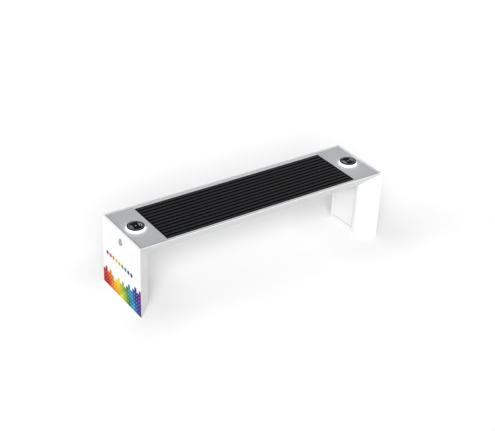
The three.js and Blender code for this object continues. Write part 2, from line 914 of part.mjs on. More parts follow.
function puckAssembly(side, direction) {
  const group = new THREE.Group();
  group.name = `puck_${side}`;
  group.position.set(direction * puckPlace, 0, deckTop);
  group.add(piece(`puck_body_${side}`, puckBody(), finishes.blackPlastic));
  group.add(piece(`puck_coil_${side}`, puckCoil(), finishes.copper));
  group.add(piece(`puck_light_ring_${side}`, puckRing(), finishes.diffuser));
  group.add(piece(`puck_cap_${side}`, puckCap(), finishes.blackPlastic));
  group.add(piece(`puck_nut_${side}`, puckNut(), finishes.blackPlastic));
  return group;
}

// Socket pieces, drawn on the end face of the left leg.
function socketShell() {
  const outside = endFaceX - socketFlangeThickness;
  const flange = rodAlongX(socketFlangeRadius, [outside, endFaceX], 0, socketHeight);
  const barrelSpan = [outside + jointGap, endFaceX + socketBarrelLength];
  const barrel = rodAlongX(socketBarrelRadius, barrelSpan, 0, socketHeight);
  const bore = rodAlongX(
    socketBoreRadius,
    [outside - cutMargin, endFaceX + socketBarrelLength + cutMargin],
    0,
    socketHeight,
  );
  const seat = rodAlongX(
    socketInsertFlangeRadius + jointGap,
    [outside - cutMargin, outside + socketInsertFlangeThickness],
    0,
    socketHeight,
  );
  const pinX = outside - capPinOut;
  const pinZ = socketHeight + capPinRise;
  const lugs = mirroredPair((side) => {
    const near = capEyeHalfLength + jointGap;
    const span = orderedSpan(side * near, side * (near + capLugThickness));
    const eye = rodAlongY(capEyeRadius, span, pinX, pinZ);
    const foot = block([pinX, endFaceX], span, [pinZ - capEyeRadius, pinZ + capEyeRadius]);
    const root = block([outside, endFaceX], span, [socketHeight + socketBarrelRadius, pinZ]);
    return join([eye, foot, root]);
  });
  const reach = [-benchDepth / 2, benchDepth / 2];
  const pinBore = rodAlongY(capPinRadius + jointGap / 2, reach, pinX, pinZ);
  return cutAll(join([flange, barrel, ...lugs]), [bore, seat, pinBore]);
}

function socketInsert() {
  const outside = endFaceX - socketFlangeThickness;
  const front = outside + jointGap;
  const back = outside + socketInsertLength;
  const flange = rodAlongX(
    socketInsertFlangeRadius,
    [front, outside + socketInsertFlangeThickness],
    0,
    socketHeight,
  );
  const core = rodAlongX(socketInsertRadius, [front, back], 0, socketHeight);
  const ports = mirroredPair((side) => {
    const middle = socketHeight + (side * portSpacing) / 2;
    return block(
      [front - cutMargin, front + portDepth],
      [-portWidth / 2, portWidth / 2],
      [middle - portHeight / 2, middle + portHeight / 2],
    );
  });
  return cutAll(join([flange, core]), ports);
}

function socketNut() {
  const geometry = geometryOf(
    hexNut(socketNutAcross, socketBarrelRadius + jointGap, [0, socketNutThickness]),
  );
  geometry.rotateY(Math.PI / 2);
  geometry.translate(wallInsideX, 0, socketHeight);
  return solidOf(geometry);
}

// Round flap with a low dome and a hinge eye at its top.
function socketCap() {
  const back = endFaceX - socketFlangeThickness - capGap;
  const rimFront = back - capThickness;
  const domeSpans = Array.from({ length: capDomeSteps + 1 }, (_, index) => {
    const share = index / capDomeSteps;
    return [capRadius * Math.sqrt(1 - share * share), capThickness + capDome * share];
  });
  const flap = geometryOf(turned([[0, 0], [capRadius, 0], ...domeSpans]));
  flap.rotateY(-Math.PI / 2);
  flap.translate(back, 0, socketHeight);
  const pinX = endFaceX - socketFlangeThickness - capPinOut;
  const pinZ = socketHeight + capPinRise;
  const span = [-capEyeHalfLength, capEyeHalfLength];
  const eye = rodAlongY(capEyeRadius, span, pinX, pinZ);
  const tongue = block([rimFront, back], span, [pinZ - capEyeRadius - capRadius / 2, pinZ]);
  const bore = rodAlongY(capPinRadius + jointGap, [-benchDepth / 2, benchDepth / 2], pinX, pinZ);
  return join([solidOf(flap), eye, tongue]).subtract(bore);
}

function socketCapPin() {
  const pinX = endFaceX - socketFlangeThickness - capPinOut;
  return rodAlongY(
    capPinRadius,
    [-capPinHalfLength, capPinHalfLength],
    pinX,
    socketHeight + capPinRise,
  );
}

// Battery in its tray, held down by a strap.
function batteryTray() {
  const low = footPlateThickness;
  const halfX = batteryDepth / 2 + trayClearance;
  const halfY = batteryHalfWidth + trayClearance;
  const outer = block(
    [batteryMiddle - halfX - traySheet, batteryMiddle + halfX + traySheet],
    [-halfY - traySheet, halfY + traySheet],
    [low, low + traySheet + trayWallHeight],
  );
  const inner = block(
    [batteryMiddle - halfX, batteryMiddle + halfX],
    [-halfY, halfY],
    [low + traySheet, low + traySheet + trayWallHeight + cutMargin],
  );
  return outer.subtract(inner);
}

function battery() {
  const low = footPlateThickness + traySheet;
  const top = low + batteryHeight;
  const halfX = batteryDepth / 2;
  const span = [batteryMiddle - halfX, batteryMiddle + halfX];
  const shell = easedBlock(span, [-batteryHalfWidth, batteryHalfWidth], [low, top], batteryEdge);
  const posts = mirroredPair((side) =>
    rodAlongZ(
      terminalRadius,
      [top - cutMargin, top + terminalHeight],
      batteryMiddle - halfX + terminalSetback,
      side * innerHalfWidth * terminalShare,
      smallRoundSegments,
    ),
  );
  return join([shell, ...posts]);
}

function batteryStrap() {
  const wallTop = footPlateThickness + traySheet + trayWallHeight;
  const batteryTop = footPlateThickness + traySheet + batteryHeight;
  const outerHalf = batteryHalfWidth + trayClearance + traySheet;
  const span = [batteryMiddle - strapWidth / 2, batteryMiddle + strapWidth / 2];
  const band = block(span, [-outerHalf, outerHalf], [wallTop, batteryTop + strapThickness]);
  const wide = [batteryMiddle - strapWidth, batteryMiddle + strapWidth];
  const innerHalf = outerHalf - strapThickness;
  return band.subtract(block(wide, [-innerHalf, innerHalf], [wallTop - cutMargin, batteryTop]));
}

// Plate on the inside of the end wall, with a pressed rail for the breaker.
function mountPlate() {
  const front = wallInsideX + mountPlateThickness;
  const halfWide = innerHalfWidth * mountPlateShare;
  const plateLevel = [controllerBottom - mountPlateFootroom, seatUnder - mountPlateHeadroom];
  const plate = block([wallInsideX, front], [-halfWide, halfWide], plateLevel);
  const lowRail = railCentre - railHeight / 2;
  const highRail = railCentre + railHeight / 2;
  const span = [-innerHalfWidth * railShare, innerHalfWidth * railShare];
  const rail = block([front - jointGap, front + railDepth], span, [lowRail, highRail]);
  const slotDepth = [front, front + railDepth - railLipThickness];
  const wide = [-benchDepth, benchDepth];
  const undercuts = [
    block(slotDepth, wide, [lowRail - cutMargin, lowRail + railLipHeight]),
    block(slotDepth, wide, [highRail - railLipHeight, highRail + cutMargin]),
  ];
  return plate.add(cutAll(rail, undercuts));
}

function chargeController() {
  const back = wallInsideX + mountPlateThickness;
  const front = back + controllerFinDepth + unitDepth;
  const halfWide = innerHalfWidth * controllerShare;
  const level = [controllerBottom, controllerTop];
  const body = block([back + controllerFinDepth, front], [-halfWide, halfWide], level);
  const pitch = (2 * halfWide - controllerFinThickness) / (controllerFinCount - 1);
  const fins = Array.from({ length: controllerFinCount }, (_, index) => {
    const low = -halfWide + pitch * index;
    return block([back, back + controllerFinDepth + cutMargin], [low, low + controllerFinThickness], level);
  });
  return join([body, ...fins]);
}

function powerModule() {
  const back = wallInsideX + mountPlateThickness;
  return easedBlock(
    [back, back + unitDepth],
    [-innerHalfWidth * moduleRearShare, innerHalfWidth * moduleFrontShare],
    [moduleBottom, moduleTop],
    moduleEdge,
  );
}

function breakerFrontX() {
  return wallInsideX + mountPlateThickness + railDepth + breakerDepth;
}

function breakerBody() {
  const back = wallInsideX + mountPlateThickness + railDepth;
  const shoulder = breakerFrontX();
  const front = shoulder + breakerNoseDepth;
  const half = breakerWidth / 2;
  const level = [railCentre - breakerHeight / 2, railCentre + breakerHeight / 2];
  const body = block([back, shoulder], [-half, half], level);
  const nose = block(
    [shoulder - cutMargin, front],
    [-half, half],
    [railCentre - breakerNoseHeight / 2, railCentre + breakerNoseHeight / 2],
  );
  const slot = block(
    [front - breakerSlotDepth, front + cutMargin],
    [-breakerSlotWidth / 2, breakerSlotWidth / 2],
    [railCentre - breakerSlotHeight / 2, railCentre + breakerSlotHeight / 2],
  );
  const pinBore = rodAlongY(
    leverPinRadius + leverPinClearance,
    [-leverPinHalfLength - leverPinClearance, leverPinHalfLength + leverPinClearance],
    front - leverPivotDepth,
    railCentre,
  );
  return cutAll(join([body, nose]), [slot, pinBore]);
}

// Toggle with its own pivot stubs, tilted to the upper position.
function breakerLever() {
  const pivotX = breakerFrontX() + breakerNoseDepth - leverPivotDepth;
  const span = [-leverHubWidth / 2, leverHubWidth / 2];
  const hub = rodAlongY(leverHubRadius, span, 0, 0);
  const arm = block(
    [0, leverArmLength],
    span,
    [-leverArmThickness / 2, leverArmThickness / 2],
  );
  const stubs = rodAlongY(leverPinRadius, [-leverPinHalfLength, leverPinHalfLength], 0, 0);
  const geometry = geometryOf(join([hub, arm, stubs]));
  geometry.rotateY(-leverTilt);
  geometry.translate(pivotX, 0, railCentre);
  return solidOf(geometry);
}

// Path through the given corners with a rounded bend at each.
function roundedPath(corners) {
  const points = corners.map(([x, y, z]) => new THREE.Vector3(x, y, z));
  const path = new THREE.CurvePath();
  let start = points[0];
  points.slice(1, -1).forEach((corner, index) => {
    const before = points[index];
    const after = points[index + 2];
    const back = before.clone().sub(corner);
    const ahead = after.clone().sub(corner);
    const bend = Math.min(cableBend, back.length() / 2, ahead.length() / 2);
    const enter = corner.clone().add(back.setLength(bend));
    const leave = corner.clone().add(ahead.setLength(bend));
    path.add(new THREE.LineCurve3(start, enter));
    path.add(new THREE.QuadraticBezierCurve3(enter, corner, leave));
    start = leave;
  });
  path.add(new THREE.LineCurve3(start, points[points.length - 1]));
  return path;
}

function tube(corners, radius, steps) {
  const ring = Array.from({ length: cableSides }, (_, index) => {
    const angle = (2 * Math.PI * index) / cableSides;
    return [radius * Math.cos(angle), radius * Math.sin(angle)];
  });
  const geometry = new THREE.ExtrudeGeometry(outline(ring), { steps, extrudePath: roundedPath(corners) });
  return solidOf(geometry);
}

// From the battery, through the seat, to the breaker.
function batteryCable() {
  const startX = innerFaceX - batteryCableSetback;
  const startZ = footPlateThickness + traySheet + batteryHeight + jointGap;
  const lane = laneHeight + powerCableRadius;
  const laneY = innerHalfWidth * powerLaneShare;
  const endX = -endFaceX - powerDropSetback;
  const endZ = railCentre + breakerHeight / 2 + jointGap;
  const corners = [
    [startX, laneY, startZ],
    [startX, laneY, lane],
    [endX, laneY, lane],
    [endX, laneY, endZ],
  ];
  return tube(corners, powerCableRadius, longCableSteps);
}

// From the junction box to the charge controller.
function solarCable() {
  const startZ = ledgeTop - junctionBoxHeight - jointGap;
  const lane = laneHeight + leadRadius;
  const laneY = innerHalfWidth * solarLaneShare;
  const endX = -endFaceX - solarDropSetback;
  const endZ = controllerTop + jointGap;
  const boxSide = -junctionBoxDepth / 4;
  const corners = [
    [junctionBoxPlace, boxSide, startZ],
    [junctionBoxPlace, boxSide, startZ - cableBend],
    [junctionBoxPlace + cableBend, laneY, lane],
    [endX, laneY, lane],
    [endX, laneY, endZ],
  ];
  return tube(corners, leadRadius, shortCableSteps * 2);
}

// From one puck and one socket to the power module.
function deviceLead(direction, laneShare, steps) {
  const laneY = innerHalfWidth * laneShare;
  const stemX = direction * puckPlace;
  const stemZ = deckTop - puckStemFloor - jointGap;
  const lane = laneHeight + leadRadius;
  const endX = -endFaceX - moduleDropSetback;
  const endZ = moduleTop + jointGap;
  const turnX = stemX + cableBend;
  const trunk = tube(
    [
      [stemX, 0, stemZ],
      [stemX, 0, lane + cableBend],
      [turnX, laneY, lane],
      [endX, laneY, lane],
      [endX, laneY, endZ],
    ],
    leadRadius,
    steps,
  );
  const socketBackX = direction * (benchLength / 2 - socketInsertLength + socketFlangeThickness - jointGap);
  const branch = tube(
    [
      [socketBackX, 0, socketHeight],
      [socketBackX - direction * cableBend, 0, socketHeight],
      [stemX, 0, lane + cableBend * forkRiseShare],
    ],
    leadRadius,
    shortCableSteps,
  );
  return trunk.add(branch);
}

// Everything that repeats at both ends, drawn at the left end.
function endPieces(side) {
  const group = new THREE.Group();
  group.name = `end_${side}`;
  group.add(piece(`leg_shell_${side}`, legShell(), finishes.shell));
  group.add(piece(`foot_plate_${side}`, footPlate(), finishes.bareSteel));
  group.add(piece(`corner_bracket_${side}`, cornerBracket(), finishes.bareSteel));
  group.add(piece(`door_panel_${side}`, doorPanel(), finishes.shell));
  group.add(piece(`door_hinge_bracket_${side}`, hingeBracket(), finishes.bareSteel));
  group.add(piece(`door_hinge_rod_${side}`, hingeRod(), finishes.bareSteel));
  group.add(piece(`door_seal_${side}`, doorSeal(), finishes.sealant));
  group.add(piece(`door_lock_barrel_${side}`, lockBarrel(), finishes.socketMetal));
  group.add(piece(`door_lock_plug_${side}`, lockPlug(), finishes.bareSteel));
  group.add(piece(`socket_shell_${side}`, socketShell(), finishes.socketMetal));
  group.add(piece(`socket_insert_${side}`, socketInsert(), finishes.blackPlastic));
  group.add(piece(`socket_nut_${side}`, socketNut(), finishes.bareSteel));
  group.add(piece(`socket_cap_${side}`, socketCap(), finishes.socketMetal));
  group.add(piece(`socket_cap_pin_${side}`, socketCapPin(), finishes.bareSteel));
  return group;
}

function batteryPieces() {
  const group = new THREE.Group();
  group.name = "battery_bay";
  group.add(piece("battery_tray", batteryTray(), finishes.bareSteel));
  group.add(piece("battery", battery(), finishes.batteryCase));
  group.add(piece("battery_strap", batteryStrap(), finishes.strap));
  return group;
}

function controlPieces() {
  const group = new THREE.Group();
  group.name = "control_bay";
  group.add(piece("mount_plate", mountPlate(), finishes.bareSteel));
  group.add(piece("charge_controller", chargeController(), finishes.controllerCase));
  group.add(piece("power_module", powerModule(), finishes.moduleCase));
  group.add(piece("breaker_body", breakerBody(), finishes.breakerCase));
  group.add(piece("breaker_lever", breakerLever(), finishes.lever));
  return group;
}

function seatPieces() {
  const group = new THREE.Group();
  group.name = "seat";
  group.add(piece("seat_shell", seatShell(), finishes.shell));
  group.add(piece("seat_rib_left", crossRib(-ribPlace), finishes.bareSteel));
  group.add(piece("seat_rib_middle", crossRib(0), finishes.bareSteel));
  group.add(piece("seat_rib_right", crossRib(ribPlace), finishes.bareSteel));
  return group;
}

function deckPieces() {
  const group = new THREE.Group();
  group.name = "deck";
  group.add(piece("deck_plate", deckPlate(), finishes.deck));
  group.add(piece("panel_seal", panelSeal(), finishes.sealant));
  group.add(piece("panel_backsheet", panelBacksheet(), finishes.backsheet));
  group.add(piece("panel_cell_sheet", cellSheet(), finishes.cells));
  group.add(piece("panel_glass", panelGlass(), finishes.glass));
  group.add(piece("panel_junction_box", junctionBox(), finishes.blackPlastic));
  return group;
}

function cablePieces() {
  const group = new THREE.Group();
  group.name = "cables";
  group.add(piece("battery_cable", batteryCable(), finishes.cableJacket));
  group.add(piece("solar_cable", solarCable(), finishes.cableJacket));
  group.add(piece("device_lead_left", deviceLead(-1, leftLaneShare, longCableSteps), finishes.cableJacket));
  group.add(piece("device_lead_right", deviceLead(1, rightLaneShare, shortCableSteps), finishes.cableJacket));
  return group;
}

const bench = new THREE.Group();
bench.name = "solar_bench";
const leftEnd = endPieces("left");
leftEnd.add(batteryPieces());
const rightEnd = endPieces("right");
rightEnd.add(controlPieces());
rightEnd.rotation.z = Math.PI;
bench.add(seatPieces(), deckPieces(), leftEnd, rightEnd, cablePieces());
bench.add(puckAssembly("left", -1), puckAssembly("right", 1));

export default bench;
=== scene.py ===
"""Solar charging bench: the looks of its coated steel, panel, charging pucks, sockets, doors and fittings.

Every length is in metres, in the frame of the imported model: X along the bench, Z up, the front faces
negative Y. Whatever both ends have is drawn at the left end and carried to the right end by half a turn.
"""

import logging
import math
from dataclasses import dataclass, replace
from enum import Enum
from typing import Callable, Mapping, Sequence

import bmesh
import bpy
from mathutils import Matrix, Vector


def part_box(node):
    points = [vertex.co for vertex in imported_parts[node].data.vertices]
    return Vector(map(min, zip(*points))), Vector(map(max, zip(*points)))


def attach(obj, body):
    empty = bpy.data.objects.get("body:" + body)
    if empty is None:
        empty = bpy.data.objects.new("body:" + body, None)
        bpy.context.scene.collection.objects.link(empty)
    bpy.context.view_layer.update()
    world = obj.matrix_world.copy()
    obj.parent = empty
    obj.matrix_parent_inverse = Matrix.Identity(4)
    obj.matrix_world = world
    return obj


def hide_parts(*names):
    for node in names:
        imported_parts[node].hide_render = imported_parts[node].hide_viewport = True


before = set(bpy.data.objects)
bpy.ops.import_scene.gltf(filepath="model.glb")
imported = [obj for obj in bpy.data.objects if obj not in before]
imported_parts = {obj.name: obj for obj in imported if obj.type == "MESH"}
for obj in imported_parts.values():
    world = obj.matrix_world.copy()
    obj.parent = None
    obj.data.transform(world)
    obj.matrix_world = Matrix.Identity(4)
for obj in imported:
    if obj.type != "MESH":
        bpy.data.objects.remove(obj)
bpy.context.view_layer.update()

LOG = logging.getLogger("solar_bench")

Colour = tuple[float, float, float]
Point = tuple[float, float, float]
Profile = Sequence[tuple[float, float]]
Socket = bpy.types.NodeSocket
Outputs = Mapping[str, Socket]

PATTERN_SPAN = (0.3, 0.7)
WHOLE_SPAN = (0.0, 1.0)
WHITE = (1.0, 1.0, 1.0)


class End(Enum):
    """The two ends of the bench, half a turn apart."""

    LEFT = "left"
    RIGHT = "right"

    @property
    def turn(self) -> Matrix:
        """Matrix that carries a shape drawn at the left end to this end."""
        return Matrix.Rotation(math.pi if self is End.RIGHT else 0.0, 4, "Z")

    def named(self, stem: str) -> str:
        """Name of this end's piece of a kind."""
        return f"{stem}_{self.value}"


class Axis(Enum):
    """Direction in which a round piece points, as its turn about Y from upright."""

    X = math.pi / 2
    Z = 0.0

    @property
    def turn(self) -> Matrix:
        """Matrix that carries the Z axis to this axis."""
        return Matrix.Rotation(self.value, 4, "Y")


# ---------------------------------------------------------------- shader building


class ShaderTree:
    """Adds nodes to one material or node group and links them as it goes."""

    columns = 9
    column_step = 190
    row_step = -230
    noise_roughness = 0.55

    def __init__(self, tree: bpy.types.NodeTree) -> None:
        """Starts on the node tree to fill."""
        self.tree = tree
        self.count = 0

    def fill(self, node: bpy.types.Node, values: Mapping) -> None:
        """Sets or links a node's inputs.

        Args:
            node: The node.
            values: Socket name or number to a value, or to the output that feeds it.
        """
        for name, value in values.items():
            if isinstance(value, Socket):
                self.tree.links.new(value, node.inputs[name])
            else:
                node.inputs[name].default_value = value

    def add(self, kind: str, values: Mapping | None = None, **settings: object) -> bpy.types.Node:
        """Adds one node.

        Args:
            kind: The node's type name.
            values: Socket name or number to a value, or to the output that feeds it.
            settings: Properties of the node itself.

        Returns:
            The new node.
        """
        node = self.tree.nodes.new(kind)
        row, column = divmod(self.count, self.columns)
        node.location = (self.column_step * column, self.row_step * row)
        self.count += 1
        for name, value in settings.items():
            setattr(node, name, value)
        self.fill(node, values or {})
        return node

    def group(self, group: bpy.types.NodeTree, values: Mapping) -> Outputs:
        """Adds a shared node group and gives its outputs."""
        return self.add("ShaderNodeGroup", values, node_tree=group).outputs

    def noise(self, vector: Socket, scale: object, detail: float) -> Socket:
        """Adds a noise pattern with a number of finer layers."""
        values = {"Vector": vector, "Scale": scale, "Detail": detail, "Roughness": self.noise_roughness}
        return self.add("ShaderNodeTexNoise", values).outputs["Fac"]

    def maths(self, operation: str, first: object, second: object = 0.0, clamp: bool = False) -> Socket:
        """Adds one step of arithmetic, held between 0 and 1 if so asked."""
        node = self.add("ShaderNodeMath", {0: first, 1: second}, operation=operation, use_clamp=clamp)
        return node.outputs[0]

    def spread(self, value: Socket, source: tuple[float, float], target: tuple) -> Socket:
        """Maps one range of values onto another, with soft ends.

        Args:
            value: The value to map.
            source: Lowest and highest value coming in.
            target: Values, or outputs, that they become.

        Returns:
            The mapped value.
        """
        ends = dict(zip(("From Min", "From Max", "To Min", "To Max"), (*source, *target)))
        node = self.add("ShaderNodeMapRange", {"Value": value, **ends}, interpolation_type="SMOOTHSTEP")
        return node.outputs["Result"]

    def blend(self, share: object, first: object, second: object, mode: str = "MIX") -> Socket:
        """Mixes a share of a second colour into a first one."""
        node = self.add("ShaderNodeMix", {0: share, 6: first, 7: second}, data_type="RGBA", blend_type=mode)
        return node.outputs[2]

    def toned(self, colour: object, tone: Socket) -> Socket:
        """Multiplies a colour by a tone that lies around 1."""
        grey = self.add("ShaderNodeCombineColor", {0: tone, 1: tone, 2: tone}).outputs["Color"]
        return self.blend(1.0, colour, grey, "MULTIPLY")

    def relief(self, height: Socket, depth: float) -> Socket:
        """Turns heights from 0 to 1 into a bumped normal, with a depth in metres."""
        values = {"Strength": 1.0, "Distance": depth, "Height": height}
        return self.add("ShaderNodeBump", values).outputs["Normal"]

    def squeezed(self, vector: Socket, scale: Point) -> Socket:
        """Stretches or squeezes coordinates along each axis."""
        return self.add("ShaderNodeMapping", {"Vector": vector, "Scale": scale}).outputs["Vector"]

    def parts(self, vector: Socket) -> Outputs:
        """Splits a vector into its coordinates."""
        return self.add("ShaderNodeSeparateXYZ", {"Vector": vector}).outputs

    def mark(self, name: str, output: str) -> Socket:
        """Reads an attribute of the mesh."""
        return self.add("ShaderNodeAttribute", attribute_name=name).outputs[output]


def opaque(colour: Colour) -> tuple[float, float, float, float]:
    """The colour with full opacity, as a colour socket takes it."""
    return (*colour, 1.0)


@dataclass(frozen=True)
class OpenGroup:
    """A node group that is being built, with its helper, what it takes and its end node."""

    group: bpy.types.NodeTree
    tree: ShaderTree
    taken: Outputs
    given: bpy.types.Node

    def close(self, values: dict[str, Socket]) -> bpy.types.NodeTree:
        """Feeds the outputs and gives the finished group."""
        self.tree.fill(self.given, values)
        return self.group


class GroupShelf:
    """Node groups that several finishes share, each built once."""

    cloud_scale = 0.012
    cloud_share = 0.65
    tone_span = (0.32, 0.68)
    patch_detail = 5.0
    worn_span = (0.42, 0.62)
    dust_scale = 140.0
    dust_span = (0.35, 0.7)
    dust_shares = (0.3, 1.0)

    def __init__(self) -> None:
        """Builds every group."""
        self.grain = self._grain()
        self.edge_wear = self._edge_wear()
        self.ground_dust = self._ground_dust()
        self.drawn_lines = self._drawn_lines()

    @staticmethod
    def _open(name: str, numbers: dict[str, float], given: Sequence[str]) -> OpenGroup:
        """Opens a group that takes a vector and numbers and gives numbers.

        Args:
            name: Name of the group.
            numbers: Number input to its starting value.
            given: Names of the outputs.

        Returns:
            The group with its end nodes.
        """
        group = bpy.data.node_groups.new(name, "ShaderNodeTree")
        sockets = group.interface
        sockets.new_socket(name="Vector", in_out="INPUT", socket_type="NodeSocketVector")
        for label, value in numbers.items():
            socket = sockets.new_socket(name=label, in_out="INPUT", socket_type="NodeSocketFloat")
            socket.default_value = value
        for label in given:
            sockets.new_socket(name=label, in_out="OUTPUT", socket_type="NodeSocketFloat")
        tree = ShaderTree(group)
        return OpenGroup(group, tree, tree.add("NodeGroupInput").outputs, tree.add("NodeGroupOutput"))

    def _around_one(self, tree: ShaderTree, value: Socket, contrast: Socket) -> Socket:
        """Turns a pattern into a tone that strays from 1 by the contrast."""
        ends = (tree.maths("SUBTRACT", 1.0, contrast), tree.maths("ADD", 1.0, contrast))
        return tree.spread(value, self.tone_span, ends)

    def _grain(self) -> bpy.types.NodeTree:
        """Builds fine grain with broad cloudy shifts.

        Returns:
            The group, with a Tone around 1, and a Height and a Cloud between 0 and 1.
        """
        made = self._open("fine_grain", {"Scale": 900.0, "Contrast": 0.03}, ["Tone", "Height", "Cloud"])
        tree, taken = made.tree, made.taken
        fine = tree.noise(taken["Vector"], taken["Scale"], 2.0)
        cloud = tree.noise(taken["Vector"], tree.maths("MULTIPLY", taken["Scale"], self.cloud_scale), 4.0)
        clouded = tree.maths("MULTIPLY", cloud, self.cloud_share)
        mixed = tree.maths("ADD", tree.maths("MULTIPLY", fine, 1.0 - self.cloud_share), clouded)
        tone = self._around_one(tree, mixed, taken["Contrast"])
        return made.close({"Tone": tone, "Height": fine, "Cloud": cloud})

    def _edge_wear(self) -> bpy.types.NodeTree:
        """Builds patchy rubbed places along marked edges.

        Returns:
            The group, whose Mask is 1 where the edge is rubbed.
        """
        made = self._open("edge_wear", {"Edge": 0.0, "Amount": 0.5, "Scale": 60.0}, ["Mask"])
        tree, taken = made.tree, made.taken
        patches = tree.noise(taken["Vector"], taken["Scale"], self.patch_detail)
        patchy = tree.spread(patches, self.worn_span, WHOLE_SPAN)
        worn = tree.maths("MULTIPLY", patchy, taken["Edge"])
        return made.close({"Mask": tree.maths("MULTIPLY", worn, taken["Amount"], clamp=True)})

    def _ground_dust(self) -> bpy.types.NodeTree:
        """Builds splash dust that fades with height above the ground.

        Returns:
            The group, whose Mask is highest at the ground.
        """
        made = self._open("ground_dust", {"Reach": 0.05, "Amount": 0.2}, ["Mask"])
        tree, taken = made.tree, made.taken
        rise = tree.maths("DIVIDE", tree.parts(taken["Vector"])["Z"], taken["Reach"])
        fade = tree.maths("SUBTRACT", 1.0, rise, clamp=True)
        splashes = tree.noise(taken["Vector"], self.dust_scale, self.patch_detail)
        broken = tree.spread(splashes, self.dust_span, self.dust_shares)
        mask = tree.maths("MULTIPLY", tree.maths("MULTIPLY", fade, broken), taken["Amount"], clamp=True)
        return made.close({"Mask": mask})

    def _drawn_lines(self) -> bpy.types.NodeTree:
        """Builds fine lines, as on brushed or rolled metal, from coordinates squeezed along them.

        Returns:
            The group, with a Tone around 1 and a Height between 0 and 1.
        """
        made = self._open("drawn_lines", {"Scale": 900.0, "Contrast": 0.1}, ["Tone", "Height"])
        lines = made.tree.noise(made.taken["Vector"], made.taken["Scale"], 4.0)
        tone = self._around_one(made.tree, lines, made.taken["Contrast"])
        return made.close({"Tone": tone, "Height": lines})


# ---------------------------------------------------------------- finishes


@dataclass(frozen=True)
class Surface:
    """A material that is being built: its helper, the object coordinates and the shared groups."""

    tree: ShaderTree
    place: Socket
    shelf: GroupShelf

    def grain(self, scale: float, contrast: float) -> Outputs:
        """Adds fine grain with broad cloudy shifts."""
        return self.tree.group(self.shelf.grain, {"Vector": self.place, "Scale": scale, "Contrast": contrast})

    def lines(self, along: Point, scale: float, contrast: float) -> Outputs:
        """Adds fine lines, with coordinates squeezed along them."""
        values = {"Vector": self.tree.squeezed(self.place, along), "Scale": scale, "Contrast": contrast}
        return self.tree.group(self.shelf.drawn_lines, values)

    def wear(self, amount: float, scale: float = 60.0) -> Socket:
        """Adds rubbed places along the marked edges."""
        values = {"Edge": self.tree.mark("edge", "Fac"), "Amount": amount, "Scale": scale}
        return self.tree.group(self.shelf.edge_wear, {"Vector": self.place, **values})["Mask"]


@dataclass(frozen=True)
class Finish:
    """Base of the finishes: one material with one Principled shader."""

    name: str
    colour: Colour
    slot: str
    roughness: float = 0.5
    gloss_span: tuple[float, float] = (-0.06, 0.08)

    def build(self, shelf: GroupShelf) -> bpy.types.Material:
        """Builds the material.

        Args:
            shelf: The shared node groups.

        Returns:
            The material.
        """
        material = bpy.data.materials.new(self.name)
        material.use_nodes = True
        material.diffuse_color = opaque(self.colour)
        tree = ShaderTree(material.node_tree)
        surface = Surface(tree, tree.add("ShaderNodeTexCoord").outputs["Object"], shelf)
        tree.fill(material.node_tree.nodes["Principled BSDF"], self.sockets(surface))
        return material

    def gloss(self, tree: ShaderTree, pattern: Socket, span: tuple[float, float] = PATTERN_SPAN) -> Socket:
        """Spreads a pattern over the finish's range of roughness."""
        low, high = (self.roughness + shift for shift in self.gloss_span)
        return tree.spread(pattern, span, (low, high))

    def sockets(self, surface: Surface) -> dict[str, object]:
        """Gives each shader input its value, or the output that feeds it."""
        raise NotImplementedError


@dataclass(frozen=True)
class PowderCoat(Finish):
    """Baked powder coating with its orange peel, faint clouding, rubbed edges and splash dust. On the deck
    the edge colour is lighter than the coat and paints the bounce light of the white lip instead of wear.
    """

    gloss_span: tuple[float, float] = (-0.05, 0.06)
    peel_scale: float = 620.0
    peel_depth: float = 0.00006
    contrast: float = 0.012
    wear_and_bounce_colour: Colour = (0.66, 0.66, 0.67)
    wear: float = 0.12
    dust_colour: Colour = (0.52, 0.48, 0.42)
    dust: float = 0.16
    dust_dulling: float = 0.4
    coat: float = 0.15
    coat_roughness: float = 0.22
    shine: float = 0.5

    def sockets(self, surface: Surface) -> dict[str, object]:
        """Mixes the coating.

        Args:
            surface: The material that is being built.

        Returns:
            Shader input to its value, or to the output that feeds it.
        """
        tree = surface.tree
        grain = surface.grain(self.peel_scale, self.contrast)
        dust = tree.group(surface.shelf.ground_dust, {"Vector": surface.place, "Amount": self.dust})["Mask"]
        base = tree.toned(opaque(self.colour), grain["Tone"])
        # On the deck this lighter edge colour is painted bounce light along the marked edges, not wear.
        rubbed = tree.blend(surface.wear(self.wear), base, opaque(self.wear_and_bounce_colour))
        dull = tree.maths("MULTIPLY", dust, self.dust_dulling)
        return {
            "Base Color": tree.blend(dust, rubbed, opaque(self.dust_colour)),
            "Roughness": tree.maths("ADD", self.gloss(tree, grain["Cloud"]), dull, clamp=True),
            "Normal": tree.relief(grain["Height"], self.peel_depth),
            "Specular IOR Level": self.shine,
            "Coat Weight": self.coat,
            "Coat Roughness": self.coat_roughness,
        }


